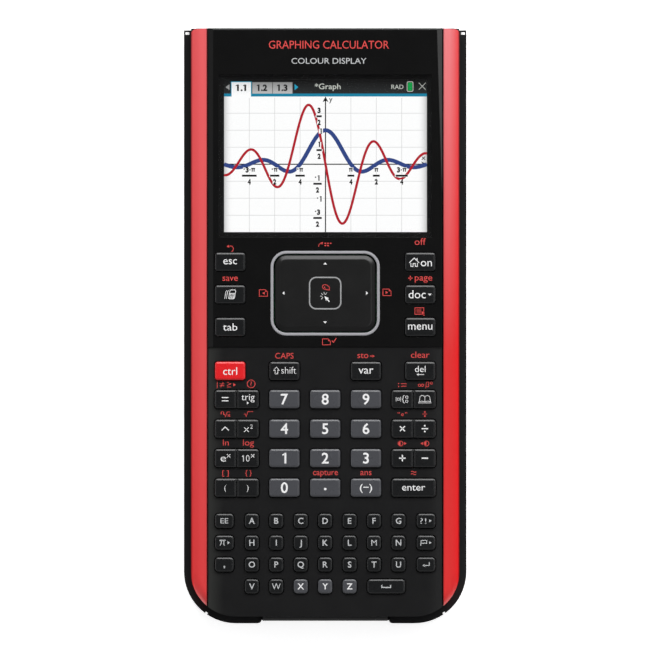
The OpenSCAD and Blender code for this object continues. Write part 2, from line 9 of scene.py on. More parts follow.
import bmesh
import bpy
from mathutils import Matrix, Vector

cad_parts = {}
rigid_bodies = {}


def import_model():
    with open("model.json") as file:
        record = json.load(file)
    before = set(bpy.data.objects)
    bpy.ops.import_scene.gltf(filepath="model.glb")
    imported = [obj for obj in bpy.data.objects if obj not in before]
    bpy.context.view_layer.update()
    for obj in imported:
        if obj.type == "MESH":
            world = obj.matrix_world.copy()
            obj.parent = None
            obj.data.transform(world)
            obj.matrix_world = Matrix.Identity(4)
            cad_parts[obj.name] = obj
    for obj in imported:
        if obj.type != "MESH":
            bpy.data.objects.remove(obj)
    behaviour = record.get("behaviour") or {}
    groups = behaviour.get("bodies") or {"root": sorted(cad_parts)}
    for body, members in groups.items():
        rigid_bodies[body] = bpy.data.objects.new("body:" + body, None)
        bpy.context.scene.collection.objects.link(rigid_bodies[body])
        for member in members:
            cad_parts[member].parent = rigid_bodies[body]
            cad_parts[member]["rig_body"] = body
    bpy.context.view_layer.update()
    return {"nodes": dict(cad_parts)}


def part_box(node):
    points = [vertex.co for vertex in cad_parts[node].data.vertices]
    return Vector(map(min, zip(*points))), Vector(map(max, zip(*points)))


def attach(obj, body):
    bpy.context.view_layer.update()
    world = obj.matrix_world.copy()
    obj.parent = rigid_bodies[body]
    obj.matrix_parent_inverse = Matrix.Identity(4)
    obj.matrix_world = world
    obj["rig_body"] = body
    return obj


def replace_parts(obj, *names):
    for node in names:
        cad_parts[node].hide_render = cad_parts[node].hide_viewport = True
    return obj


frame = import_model()

MM = 0.001
BODY = "calculator"

# Edges and levels of the face, from the frame. The caps stay low enough for a print to fit on them.
FASCIA_LOW, FASCIA_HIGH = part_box("upper_fascia")
FASCIA_Z, FASCIA_END_Y = FASCIA_HIGH.z / MM, FASCIA_LOW.y / MM
FACE_HALF, TOP_Y = FASCIA_HIGH.x / MM, FASCIA_HIGH.y / MM
FACE_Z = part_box("front_housing")[1].z / MM
TRIM_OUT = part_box("side_trim_right")[1].x / MM
PLUNGER_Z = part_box("key_7")[0].z / MM
CAP_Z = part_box("key_7")[1].z / MM - 0.03

# The fascia's bevels: widths along its sides, how steep they are and how softly they start, and its end
LEFT_FACET, RIGHT_FACET = 1.8, 1.9
RIGHT_FACET_END_Y = 34.0
FACET_SLOPE, FACET_SOFT = 0.168, 0.3
END_FACET, END_DROP = 0.55, 0.25

# The keypad face falls by CROWN_DROP over the last CROWN_WIDTH before each trim
CROWN_WIDTH, CROWN_DROP = 5.0, 0.5

# The case's end wall stops at LIP_X, with its outer corner rounded over LIP_RUN by LIP_DEPTH
LIP_X, LIP_RUN, LIP_DEPTH = 20.5, 1.5, 0.75
WALL_INNER_Y = -94.5

# Keycaps: the rounding of their corners and top edges, the chamfer inside it, and the flanges that hold
# them under the face
CAP_RADIUS, CAP_EDGE, RING_EDGE = 0.9, 0.3, 0.2
CHAMFER, CHAMFER_DROP = 0.32, 0.15
CAP_LOW = 13.6
FLANGE, WIDE_FLANGE = 0.6, 0.3
FLANGE_LEVELS, ROCKER_FLANGE_LEVELS = (13.4, 14.2), (12.9, 13.6)
ROCKER_SPLIT = 0.3

# The letter pad
LETTER_PITCH, SIDE_KEY_X, SPACE_X = 7.83, 32.3, 19.56
LETTER_W, LETTER_H, SIDE_KEY_W, SPACE_W = 4.5, 4.55, 6.0, 12.1
ROCKER_KEYS = ["key_equals_trig", "key_power_square", "key_exponentials", "key_brackets",
               "key_template_catalog", "key_times_divide", "key_plus_minus"]
GREY_KEYS = ["key_7", "key_8", "key_9", "key_4", "key_5", "key_6", "key_1", "key_2", "key_3",
             "key_0", "key_point", "key_negate"]
BLACK_KEYS = ["key_escape", "key_scratchpad", "key_tab", "key_on", "key_document", "key_menu",
              "key_shift", "key_var", "key_delete"]
LETTER_ROWS = ["ABCDEFG", "HIJKLMN", "OPQRSTU", "VWXYZ"]

# Bottom and top of a print, over the surface it is on
PRINT_LEVELS = (-0.01, 0.014)

# Text at size 1: half its thickness, and the reach of the flag on a figure one
TEXT_HALF, FLAG = 0.01, 0.14

# The picture on the display, and the heights of its parts
PICTURE_W, PICTURE_H = 65.0, 48.8
PICTURE_X = 0.1
PIXEL = PICTURE_W / 320
LAYER = 0.03
AXIS_Y, AXIS_WIDTH = 51.8, 0.36
GRID_X, GRID_Y = 8.14, 5.45
LINE_LOW, BAR_LOW, TAB_TOP = 73.5, 74.45, 78.1

# How brightly the white page and the floor light themselves
PAGE_GLOW = 1.08
FLOOR_GLOW = 0.74


# ---------- plain geometry ----------

def put(data, name):
    """A new object in the scene."""
    made = bpy.data.objects.new(name, data)
    bpy.context.scene.collection.objects.link(made)
    return made


def node_box(node):
    """Lowest and highest corner of a CAD node, in millimetres."""
    low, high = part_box(node)
    return low / MM, high / MM


def node_centre(node):
    low, high = node_box(node)
    return (low.x + high.x) / 2, (low.y + high.y) / 2


def rounded(x, y, w, h, radii, inset=0.0, steps=6):
    """Outline of a rectangle about (x, y), each corner with its own radius, moved in by inset.

    The corners go anticlockwise from the one at +x +y.
    """
    corners = ((1, 1), (-1, 1), (-1, -1), (1, -1))
    points = []
    for quarter, ((side_x, side_y), radius) in enumerate(zip(corners, radii)):
        r = max(radius - inset, 0.02)
        centre_x = x + side_x * (w / 2 - inset - r)
        centre_y = y + side_y * (h / 2 - inset - r)
        for step in range(steps + 1):
            angle = math.radians(90 * (quarter + step / steps))
            points.append((centre_x + r * math.cos(angle), centre_y + r * math.sin(angle)))
    return points


def direction(turn):
    """The unit vector at turn degrees."""
    return Vector((math.cos(math.radians(turn)), math.sin(math.radians(turn))))


def arc(x, y, r, start, end, steps=10):
    """Points along an arc, with its angles in degrees."""
    turns = [start + (end - start) * i / steps for i in range(steps + 1)]
    return [Vector((x, y)) + direction(turn) * r for turn in turns]


def facet_drop(x, y):
    """How far the fascia's long sides lie under its top: an even facet at the left, a wedge at the right."""
    wedge = RIGHT_FACET * max(0.0, y - RIGHT_FACET_END_Y) / (TOP_Y - RIGHT_FACET_END_Y)
    run = abs(x) - FACE_HALF + (LEFT_FACET if x < 0 else wedge)
    if run <= 0:
        return 0.0
    return FACET_SLOPE * (run - FACET_SOFT / 2 if run > FACET_SOFT else run * run / (2 * FACET_SOFT))


def crown_drop(x):
    """How far the keypad face lies under its top near the trims."""
    run = max(0.0, abs(x) - (FACE_HALF - CROWN_WIDTH)) / CROWN_WIDTH
    return CROWN_DROP * run * run


class Solid:
    """Gathers points in millimetres and faces with material numbers, and becomes one object."""

    def __init__(self):
        self.points, self.faces, self.inks = [], [], []

    def add(self, points, faces, ink=0):
        base = len(self.points)
        self.points += points
        self.faces += [tuple(base + i for i in face) for face in faces]
        self.inks += [ink] * len(faces)

    def loft(self, rings, ink=0, closed_loop=False):
        """Joins rings of equal length, from the lowest up, and caps both ends or joins them."""
        count, around = len(rings), len(rings[0])
        faces = []
        for k in range(count if closed_loop else count - 1):
            low, high = k * around, (k + 1) % count * around
            for i in range(around):
                j = (i + 1) % around
                faces.append((low + i, low + j, high + j, high + i))
        if not closed_loop:
            faces.append(tuple(reversed(range(around))))
            faces.append(tuple(range((count - 1) * around, count * around)))
        self.add([point for ring in rings for point in ring], faces, ink)

    def object(self, name, body, materials, slot=None, sharp=32.0):
        mesh = bpy.data.meshes.new(name)
        mesh.from_pydata([[c * MM for c in point] for point in self.points], [], self.faces)
        mesh.polygons.foreach_set("material_index", self.inks)
        work = bmesh.new()
        work.from_mesh(mesh)
        bmesh.ops.recalc_face_normals(work, faces=work.faces)
        return finish_mesh(work, mesh, name, body, materials, sharp)


def finish_mesh(work, mesh, name, body, materials, sharp):
    """Writes a bmesh into its object, shaded smooth except across sharp edges."""
    work.normal_update()
    for face in work.faces:
        face.smooth = True
    for edge in work.edges:
        edge.smooth = len(edge.link_faces) == 2 and edge.calc_face_angle(0) < math.radians(sharp)
    work.to_mesh(mesh)
    work.free()
    for material in materials:
        mesh.materials.append(material)
    piece = put(mesh, name)
    even = piece.modifiers.new("even_shading", "WEIGHTED_NORMAL")
    even.keep_sharp = True
    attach(piece, body)
    return piece


def at(outline, z):
    return [(x, y, z) for x, y in outline]


def block(solid, x, y, w, h, radii, z0, z1, edge=CAP_EDGE, chamfer=CHAMFER, drop=CHAMFER_DROP):
    """An upright rounded block: its walls turn into a shallow chamfer, which softly meets the flat top."""
    start = math.atan2(drop, chamfer)
    profile = [(0.0, z0)]
    for step in range(6):
        angle = (math.pi / 2 - start) * step / 5
        profile.append((edge * (1 - math.cos(angle)), z1 - drop - edge * (1 - math.sin(angle))))
    inset, z = profile[-1]
    run = (z1 - z) / math.tan(start)
    profile += [(inset + run * 0.85, z1 - (z1 - z) * 0.15), (inset + run * 1.1, z1 - 0.006),
                (inset + run * 1.4, z1)]
    solid.loft([at(rounded(x, y, w, h, radii, inset), z) for inset, z in profile])


# ---------- softened copies of the shells ----------

def cut(work, start, end):
    """Adds edges where the upright plane through two places in the face passes through."""
    along = Vector(end) - Vector(start)
    geometry = work.verts[:] + work.edges[:] + work.faces[:]
    bmesh.ops.bisect_plane(work, geom=geometry, plane_co=Vector(start).to_3d() * MM,
                           plane_no=Vector((along.y, -along.x, 0)).normalized())


def cut_sides(work, distances):
    """Adds edges along both sides, at those distances from the middle."""
    for x in distances:
        for side in (-x, x):
            cut(work, (side, 0), (side, 1))


def softened(node, material, width=0.12, segments=2, before=None, after=None, sharp=40.0):
    """A copy of a CAD node with its sharp edges rounded, which stands for that node."""
    work = bmesh.new()
    work.from_mesh(frame["nodes"][node].data)
    bmesh.ops.remove_doubles(work, verts=work.verts, dist=1e-6)
    bmesh.ops.dissolve_limit(work, angle_limit=math.radians(0.4), verts=work.verts, edges=work.edges)
    if before:
        before(work)
        work.normal_update()
    edges = [e for e in work.edges if len(e.link_faces) == 2 and e.calc_face_angle(0) > math.radians(30)]
    bmesh.ops.bevel(work, geom=edges, offset=width * MM, offset_type="OFFSET", segments=segments,
                    profile=0.5, affect="EDGES", clamp_overlap=True)
    if after:
        after(work)
    title = node + "_shell"
    body = frame["nodes"][node]["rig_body"]
    piece = finish_mesh(work, bpy.data.meshes.new(title), title, body, [material], sharp)
    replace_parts(piece, node)


def round_lips(work):
    """Rounds the outer corners where the case's end wall stops short for the thumb."""
    steps = 6
    cut_sides(work, [LIP_X + LIP_RUN * step / steps for step in range(1, steps + 1)])
    for vert in work.verts:
        x, y, _ = vert.co / MM
        run = (abs(x) - LIP_X) / LIP_RUN
        if -0.05 < run < 1:
            outward = min(1.0, max(0.0, (WALL_INNER_Y - y) / (WALL_INNER_Y + TOP_Y)))
            vert.co.y += LIP_DEPTH * outward * (1 - math.sqrt(1 - (1 - max(0.0, run)) ** 2)) * MM


def slope_trim_end(work):
    """Slopes the display end of a trim down towards its rounded outer corner."""
    low, high = node_box("side_trim_right")
    width = high.x - low.x
    corner_start = 0.7
    cut_sides(work, [low.x + width * run for run in (corner_start, 0.8, 0.87, 0.93, 0.97)])
    for vert in work.verts:
        x, y, _ = vert.co / MM
        if y > high.y - 1.0:
            run = (abs(x) - low.x) / width
            corner = max(0.0, run - corner_start) / (1 - corner_start)
            vert.co.y -= (0.5 * run + 0.85 * corner ** 2.5) * MM


def crown_face(work):
    """Lets the top of the keypad face fall towards the trims."""
    cut_sides(work, [FACE_HALF - CROWN_WIDTH * (1 - step / 5) for step in range(5)])
    for vert in work.verts:
        x, y, z = vert.co / MM
        if z > FACE_Z - 0.4 and abs(x) <= FACE_HALF + 0.01 and y < FASCIA_END_Y + 0.05:
            vert.co.z -= crown_drop(x) * MM


def facet_fascia(work):
    """Bevels the fascia's long sides and its display end."""
    for soft in (0.0, 0.1, 0.2, 0.3):
        cut(work, (LEFT_FACET - FACE_HALF - soft, 0), (LEFT_FACET - FACE_HALF - soft, 1))
        cut(work, (FACE_HALF + soft, RIGHT_FACET_END_Y), (FACE_HALF - RIGHT_FACET + soft, TOP_Y))
    cut(work, (0, TOP_Y - END_FACET), (1, TOP_Y - END_FACET))
    for vert in work.verts:
        x, y, z = vert.co / MM
        if z > FASCIA_Z - 0.4:
            near_end = max(0.0, 1 - (TOP_Y - y) / END_FACET)
            vert.co.z -= max(facet_drop(x, y), END_DROP * near_end) * MM


# ---------- materials ----------

def rgb(code):
    """A linear colour from a hexadecimal one."""
    parts = [int(code[i:i + 2], 16) / 255 for i in (1, 3, 5)]
    return [p / 12.92 if p <= 0.04045 else ((p + 0.055) / 1.055) ** 2.4 for p in parts] + [1.0]


def scaled(colour, factor, more=0.0):
    return [min(1.0, c * factor + more) for c in colour[:3]] + [1.0]


class Shader:
    """A Principled material while its nodes are put together."""

    def __init__(self, name):
        self.material = bpy.data.materials.new(name)
        self.material.use_nodes = True
        self.tree = self.material.node_tree
        self.surface = self.tree.nodes["Principled BSDF"]
        self.place = self.add("TexCoord").outputs["Object"]

    def add(self, kind, settings=None, **inputs):
        made = self.tree.nodes.new("ShaderNode" + kind)
        for key, value in (settings or {}).items():
            setattr(made, key, value)
        for key, value in inputs.items():
            self.feed(made, key.replace("_", " "), value)
        return made

    def feed(self, target, key, value):
        socket = target.inputs[key]
        if isinstance(value, bpy.types.NodeSocket):
            self.tree.links.new(value, socket)
        else:
            socket.default_value = value

    def axes(self, vector):
        return self.add("SeparateXYZ", Vector=vector).outputs

    def noise(self, size, detail=2.0, roughness=0.5):
        """Noise whose features are about size millimetres across."""
        made = self.add("TexNoise", Vector=self.place, Scale=1 / (size * MM), Detail=detail,
                        Roughness=roughness)
        return made.outputs["Fac"]

    def spread(self, value, low, high, out_low=0.0, out_high=1.0):
        made = self.add("MapRange", Value=value, From_Min=low, From_Max=high, To_Min=out_low,
                        To_Max=out_high)
        return made.outputs["Result"]

    def along(self, axis, start, end, out_low=0.0, out_high=1.0):
        """Runs between two places on an axis, in millimetres."""
        return self.spread(axis, start * MM, end * MM, out_low, out_high)

    def mottle(self, size, detail=2.0, roughness=0.5, out_low=0.0, out_high=1.0):
        """Noise that nearly fills the span from out_low to out_high."""
        return self.spread(self.noise(size, detail, roughness), 0.3, 0.7, out_low, out_high)

    def math(self, operation, a, b=0.0):
        made = self.add("Math", {"operation": operation})
        self.feed(made, 0, a)
        self.feed(made, 1, b)
        return made.outputs[0]

    def times(self, a, b):
        return self.math("MULTIPLY", a, b)

    def blend(self, share, first, second):
        made = self.add("Mix", {"data_type": "RGBA"})
        for key, value in ((0, share), (6, first), (7, second)):
            self.feed(made, key, value)
        return made.outputs[2]

    def vary(self, share, base, low, high):
        """A colour from low to high times its own brightness."""
        return self.blend(share, scaled(base, low), scaled(base, high))

    def worn_edges(self, radius):
        """1 along the edges within radius millimetres, else 0, and the soft normal."""
        soft = self.add("Bevel", {"samples": 4}, Radius=radius * MM).outputs["Normal"]
        dot = self.add("VectorMath", {"operation": "DOT_PRODUCT"})
        self.feed(dot, 0, soft)
        self.feed(dot, 1, self.add("NewGeometry").outputs["Normal"])
        return self.spread(dot.outputs["Value"], 0.999, 0.93), soft

    def bump(self, height, depth, strength, normal=None):
        """The normal of a bump of that depth in millimetres, on top of any other normal."""
        made = self.add("Bump", Height=height, Distance=depth * MM, Strength=strength)
        if normal is not None:
            self.feed(made, "Normal", normal)
        return made.outputs["Normal"]

    def finish(self, **inputs):
        for key, value in inputs.items():
            self.feed(self.surface, key.replace("_", " "), value)
        return self.material


def plastic(name, colour, roughness, grain=0.22, depth=0.004, wear=0.35, edge=0.25, specular=0.5,
            patchy=0.04, sides=None, walls=None):
    """Moulded plastic: fine grain, faint patches of handling, edges rubbed a little lighter.

    walls gives how much of the shine is left on sloping faces, and on those towards the display end.
    sides is the colour of a painted sheen that the face takes towards its left side, standing in for the
    light that its falling edge reflects.
    """
    shader = Shader(name)
    base = rgb(colour)
    edges, soft = shader.worn_edges(edge)
    rubbed = shader.times(edges, shader.spread(shader.noise(2.5, 4.0), 0.35, 0.7))
    tone = shader.vary(shader.mottle(14, 3.0, 0.6), base, 1 - patchy, 1 + patchy)
    # Painted sheen: the face turns towards the sides colour near its left side.
    if sides:
        x, _, _ = shader.axes(shader.place)
        tone = shader.blend(shader.along(x, CROWN_WIDTH - FACE_HALF, -FACE_HALF), tone, rgb(sides))
    if walls:
        _, facing_y, facing_z = shader.axes(shader.add("NewGeometry").outputs["Normal"])
        wall = shader.spread(facing_y, 0.1, 0.35, specular * walls[0], specular * walls[1])
        specular = shader.spread(facing_z, 0.91, 0.97, wall, specular)
    return shader.finish(
        Base_Color=shader.blend(shader.times(rubbed, wear), tone, scaled(base, 1.35, 0.012)),
        Roughness=shader.mottle(6.0, out_low=roughness - 0.02, out_high=roughness + 0.02),
        Specular_IOR_Level=specular, Normal=shader.bump(shader.noise(grain, 3.0), depth, 0.6, soft))


def trim_red():
    """Glossy red plastic with a painted sheen, paler towards the display end and on the right trim, painted
    shade that deepens it outward, and dark rims of painted shade.
    """
    shader = Shader("trim_red_gloss")
    x, y, _ = shader.axes(shader.place)
    right, off = shader.math("GREATER_THAN", x), shader.math("ABSOLUTE", x)
    # Painted sheen: each trim runs from deep red up to a paler tone towards the display end, the right trim
    # paler than the left.
    left_sheen_tone, right_sheen_tone = [
        shader.blend(shader.along(y, start, TOP_Y), rgb(deep), rgb(pale))
        for start, deep, pale in ((-TOP_Y, "#d53738", "#e05b5e"), (-0.1 * TOP_Y, "#da2c2c", "#e97e82"))]
    tone = shader.blend(right, left_sheen_tone, right_sheen_tone)
    # Painted shade: the outer part of each trim turns a deeper red, more on the right trim.
    outward = shader.times(shader.along(off, FACE_HALF + 2.4, TRIM_OUT - 0.8),
                           shader.spread(right, 0.0, 1.0, 0.15, 0.7))
    tone = shader.blend(outward, tone, rgb("#cd2023"))
    edges, soft = shader.worn_edges(0.3)
    rubbed = shader.times(edges, shader.spread(shader.noise(1.6, 4.0), 0.3, 0.75))
    tone = shader.blend(shader.times(rubbed, 0.5), tone, rgb("#a3141b"))
    # Painted shade: dark rims along the inner and outer long edges of each trim.
    for start, end in ((FACE_HALF + 0.8, FACE_HALF + 0.1), (TRIM_OUT - 0.6, TRIM_OUT)):
        tone = shader.blend(shader.times(shader.along(off, start, end), 0.93), tone, rgb("#2a0507"))
    return shader.finish(
        Base_Color=tone, Roughness=shader.mottle(6.0, 4.0, 0.65, 0.4, 0.48),
        Specular_IOR_Level=shader.along(off, FACE_HALF + 2.0, TRIM_OUT - 0.8, 0.35, 0.0),
        Normal=shader.bump(shader.noise(0.5), 0.002, 0.4, soft))


def metal(name, colour, roughness):
    """Plated or brushed metal, with fine marks."""
    shader = Shader(name)
    base = rgb(colour)
    marks = shader.noise(0.4, 5.0, 0.7)
    edges, soft = shader.worn_edges(0.12)
    tone = shader.vary(shader.spread(marks, 0.3, 0.7), base, 0.88, 1.12)
    return shader.finish(
        Base_Color=shader.blend(shader.times(edges, 0.5), tone, scaled(base, 1.5)), Metallic=1.0,
        Roughness=shader.spread(marks, 0.3, 0.7, roughness - 0.06, roughness + 0.06),
        Normal=shader.bump(marks, 0.003, 0.5, soft))


def ink(name, colour):
    """Screen-printed ink: slightly uneven, with a fine speckle."""
    shader = Shader(name)
    speckle = shader.mottle(0.12, 3.0)
    return shader.finish(
        Base_Color=shader.vary(shader.times(shader.mottle(1.5, 3.0), speckle), rgb(colour), 0.9, 1.04),
        Roughness=shader.spread(speckle, 0.0, 1.0, 0.45, 0.55), Specular_IOR_Level=0.35,
        Normal=shader.bump(speckle, 0.002, 0.4))


def lit(name, colour, strength=1.0, lower=None, span=None, side_shade=False):
    """A lit part of the picture, with the faint grid of its pixels.

    span gives the heights between which the colour runs from lower up to colour.
    """
    shader = Shader(name)
    x, y, _ = shader.axes(shader.place)
    tone = shader.blend(shader.along(y, *span) if span else 0.0, rgb(lower or colour), rgb(colour))
    bright = 1.0
    for axis in (x, y):
        wave = shader.math("SINE", shader.times(axis, math.tau / (PIXEL * MM)))
        bright = shader.times(shader.spread(wave, 0.8, 1.0, 1.0, 0.965), bright)
    # Painted shade: side_shade darkens the picture towards its left and right edges, as the bezel's shadow.
    if side_shade:
        fall = shader.along(shader.math("ABSOLUTE", x), PICTURE_W / 2 - 3.0, PICTURE_W / 2)
        bright = shader.times(bright, shader.spread(shader.math("POWER", fall, 2.0), 0, 1, 1.0, 0.55))
    seen = shader.add("VectorMath", {"operation": "SCALE"}, Scale=bright)
    shader.feed(seen, 0, tone)
    return shader.finish(Base_Color=[0.0, 0.0, 0.0, 1.0], Roughness=0.6, Specular_IOR_Level=0.0,
                         Emission_Color=seen.outputs["Vector"], Emission_Strength=strength)


def clear_window():
    """The display's clear window: glass that lets lamps through, with faint smears in its gloss."""
    shader = Shader("window_clear_plastic")
    smears = shader.spread(shader.noise(9.0, 4.0, 0.65), 0.35, 0.7, 0.02, 0.06)
    mixed = shader.add("MixShader")
    shader.feed(mixed, 0, shader.add("LightPath").outputs["Is Shadow Ray"])
    shader.feed(mixed, 1, shader.surface.outputs[0])
    shader.feed(mixed, 2, shader.add("BsdfTransparent").outputs[0])
    shader.feed(shader.tree.nodes["Material Output"], "Surface", mixed.outputs[0])
    return shader.finish(Base_Color=[0.98, 0.985, 0.985, 1.0], Roughness=smears, IOR=1.45,
                         Transmission_Weight=1.0)


def circuit_board():
    """Green solder mask over copper tracks."""
    shader = Shader("board_green_mask")
    bricks = shader.add("TexBrick", {"offset": 0.37}, Vector=shader.place, Scale=1 / (6 * MM),
                        Mortar_Size=0.03, Mortar_Smooth=0.3)
    tracks = bricks.outputs["Fac"]
    vias = shader.add("TexVoronoi", Vector=shader.place, Scale=1 / (2.4 * MM), Randomness=0.6)
    dots = shader.spread(vias.outputs["Distance"], 0.16, 0.12)
    tone = shader.blend(tracks, rgb("#17492e"), rgb("#256b42"))
    return shader.finish(Base_Color=shader.blend(dots, tone, rgb("#b79a55")),
                         Roughness=shader.spread(dots, 0, 1, 0.38, 0.25),
                         Normal=shader.bump(tracks, 0.02, 0.6))


def wrapped_cell():
    """Shrink wrap over the battery, with soft creases."""
    shader = Shader("battery_wrap_film")
    creases = shader.noise(5.0, 5.0, 0.6)
    tone = shader.blend(shader.spread(creases, 0.3, 0.7), rgb("#4f5967"), rgb("#6b7686"))
    return shader.finish(Base_Color=tone, Roughness=shader.spread(creases, 0.3, 0.7, 0.25, 0.42),
                         Normal=shader.bump(creases, 0.12, 0.5))


def floor_pale():
    shader = Shader("floor_pale")
    tone = shader.blend(shader.mottle(60, 3.0), [0.9, 0.9, 0.9, 1], [0.93, 0.93, 0.93, 1])
    return shader.finish(Base_Color=tone, Roughness=0.9, Specular_IOR_Level=0.1,
                         Emission_Color=[1.0, 1.0, 1.0, 1.0], Emission_Strength=FLOOR_GLOW)


# ---------- prints ----------

class Print:
    """Legends on one body: flat shapes just over the surface at height z, placed from origin.

    bend gives how far the surface falls at x.
    """

    def __init__(self, z, bend=None, origin=(0.0, 0.0)):
        self.solid, self.z, self.bend, self.origin = Solid(), z, bend, origin

    def lift(self, x, y, z):
        x, y = x + self.origin[0], y + self.origin[1]
        return (x, y, z - (self.bend(x) if self.bend else 0.0))

    def draw(self, icon, x, y, *details):
        """Draws an icon about (x, y)."""
        before = self.origin
        self.origin = (before[0] + x, before[1] + y)
        icon(self, *details)
        self.origin = before

    def plate(self, points, ink=0):
        """A filled outline."""
        rings = [[self.lift(x, y, self.z + level) for x, y in points] for level in PRINT_LEVELS]
        self.solid.loft(rings, ink)

    def box(self, x, y, w, h, ink=0):
        self.plate([(x - w / 2, y - h / 2), (x + w / 2, y - h / 2), (x + w / 2, y + h / 2),
                    (x - w / 2, y + h / 2)], ink)

    def dot(self, x, y, r, ink=0):
        self.plate(arc(x, y, r, 0, 330, 11), ink)

    def pointer(self, x, y, length, width, turn, ink=0):
        """A filled triangle about (x, y), pointing along turn degrees."""
        along = direction(turn) * length / 2
        across = direction(turn + 90) * width / 2
        middle = Vector((x, y))
        self.plate([middle + along, middle - along + across, middle - along - across], ink)

    def line(self, points, width, ink=0, closed=False):
        """A stroke of that width through points, mitred at its turns."""
        spots = [Vector(p) for p in points]
        count = len(spots)
        rings = []
        for i, spot in enumerate(spots):
            ways = [spot - spots[i - 1]] if i or closed else []
            ways += [spots[(i + 1) % count] - spot] if i < count - 1 or closed else []
            ways = [way.normalized() for way in ways]
            along = sum(ways, Vector((0, 0))).normalized()
            across = Vector((-along.y, along.x))
            reach = across * width / 2 / max(0.5, across.dot(Vector((-ways[0].y, ways[0].x))))
            low, high = PRINT_LEVELS
            corners = ((reach, low), (-reach, low), (-reach, high), (reach, high))
            rings.append([self.lift(*(spot + offset), self.z + level) for offset, level in corners])
        self.solid.loft(rings, ink, closed_loop=closed)

    def bar(self, start, end, y, width, ink=0):
        """A level stroke."""
        self.line([(start, y), (end, y)], width, ink)

    def post(self, x, start, end, width, ink=0):
        """An upright stroke."""
        self.line([(x, start), (x, end)], width, ink)

    def ring(self, x, y, r, width, end=330, steps=10):
        """A circle whose last side closes the gap from end degrees."""
        self.line(arc(x, y, r, 0, end, steps), width, closed=True)

    def words(self, text, x, y, cap, width=None, weight=0.018, ink=0):
        """Text about x. y is the middle of its small letters, or of its capitals where it has none."""
        points, faces = text_shape(text, weight)
        across = [p[0] for p in points]
        scale = cap / FONT_CAP
        stretch = width / (max(across) - min(across)) if width else scale
        middle = (max(across) + min(across)) / 2
        rise = FONT_SMALL if text.islower() else FONT_CAP
        placed = [self.lift(x + (px - middle) * stretch, y + (py - rise / 2) * scale,
                            self.z + PRINT_LEVELS[pz > 0]) for px, py, pz in points]
        self.solid.add(placed, faces, ink)

    def place(self, name, body, inks):
        return self.solid.object(name, body, inks)


text_cache = {}


def text_shape(text, weight):
    """Points and faces of text in the built-in font, at size 1 on its baseline."""
    key = (text, weight)
    if key not in text_cache:
        curve = bpy.data.curves.new("words", "FONT")
        curve.body, curve.offset, curve.extrude, curve.resolution_u = text, weight, TEXT_HALF, 3
        holder = put(curve, "words")
        graph = bpy.context.evaluated_depsgraph_get()
        mesh = bpy.data.meshes.new_from_object(holder.evaluated_get(graph))
        shape = [tuple(v.co) for v in mesh.vertices], [tuple(p.vertices) for p in mesh.polygons]
        text_cache[key] = shape
        for place, letter in enumerate(text):
            if letter == "1":
                add_flag(shape, text[:place + 1], weight)
        bpy.data.objects.remove(holder)
        bpy.data.curves.remove(curve)
        bpy.data.meshes.remove(mesh)
    return text_cache[key]


def add_flag(shape, until, weight):
    """Gives the figure one that ends until the short flag that the built-in font leaves out."""
    points, faces = shape
    stem = [p[0] for p in text_shape("l", weight)[0]]
    left = max(p[0] for p in text_shape(until, weight)[0]) - (max(stem) - min(stem))
    top = max(p[1] for p in points)
    tip = left - FLAG
    spots = [(left + 0.02, top), (tip, top - 0.1), (tip, top - 0.19), (left + 0.02, top - 0.12)]
    base = len(points)
    points.extend((x, y, z) for z in (-TEXT_HALF, TEXT_HALF) for x, y in spots)
    sides = [(i, (i + 1) % 4, (i + 1) % 4 + 4, i + 4) for i in range(4)]
    faces.extend(tuple(base + i for i in face) for face in [(3, 2, 1, 0), (4, 5, 6, 7)] + sides)


def text_height(letter):
    return max(p[1] for p in text_shape(letter, 0.0)[0])


FONT_CAP = text_height("H")
FONT_SMALL = text_height("x")


# ---------- icons, each about the origin of its print ----------

def mirrored(points):
    """The points, and then their mirror images at +x, from the last back to the first."""
    return points + [(-x, y) for x, y in reversed(points)]


def house(out):
    out.line(mirrored([(-1.05, -0.25), (-1.05, -1.4), (-0.35, -1.4), (-0.35, -0.45)]), 0.22)
    out.line([(-1.6, -0.25), (0, 1.3), (1.6, -0.25)], 0.27)
    out.post(0.95, 0.4, 1.25, 0.27)


def shift_arrow(out):
    out.line([(-0.42, -1.1), (-0.42, 0.05), (-0.9, 0.05), (0, 1.1), (0.9, 0.05), (0.42, 0.05),
              (0.42, -1.1)], 0.16, closed=True)


def scratchpad(out):
    """A small calculator leaning over three pages."""
    def slant(x, y):
        return (x + 0.17 * y, y)
    sheet = rounded(0.5, 0, 1.85, 2.85, [0.35] * 4, steps=2)
    out.line([slant(*spot) for spot in sheet], 0.2, closed=True)
    out.line([slant(-0.4, 0.25), slant(1.4, 0.25)], 0.22)
    for row in range(3):
        for column in range(3):
            out.box(*slant(-0.02 + 0.52 * column, -0.15 - 0.46 * row), 0.34, 0.28)
    for shift in (-1.1, -1.65):
        out.line([slant(shift, -1.45), slant(shift, 0.9), slant(shift + 0.2, 1.35)], 0.16)


def arrow(out, start, end, y, width, head):
    """A level arrow from start to end."""
    way = math.copysign(1, end - start)
    out.bar(start, end - way * head * 0.8, y, width)
    out.pointer(end - way * head / 2, y, head, head * 1.05, 90 - way * 90)


def template(out):
    """Bars round a box, and a brace with two boxes."""
    for side in (-2.0, -0.55):
        out.post(side, -0.75, 0.75, 0.13)
    out.line(rounded(-1.28, 0, 0.6, 0.7, [0.05] * 4, steps=1), 0.13, closed=True)
    brace = arc(0.75, 0.75, 0.5, 90, 180, 4) + [(0.25, 0.3), (-0.05, 0)]
    for side in (1, -1):
        out.line([(x, side * y) for x, y in brace], 0.15)
        out.line(rounded(1.4, side * 0.65, 0.72, 0.72, [0.2] * 4, steps=2), 0.14, closed=True)


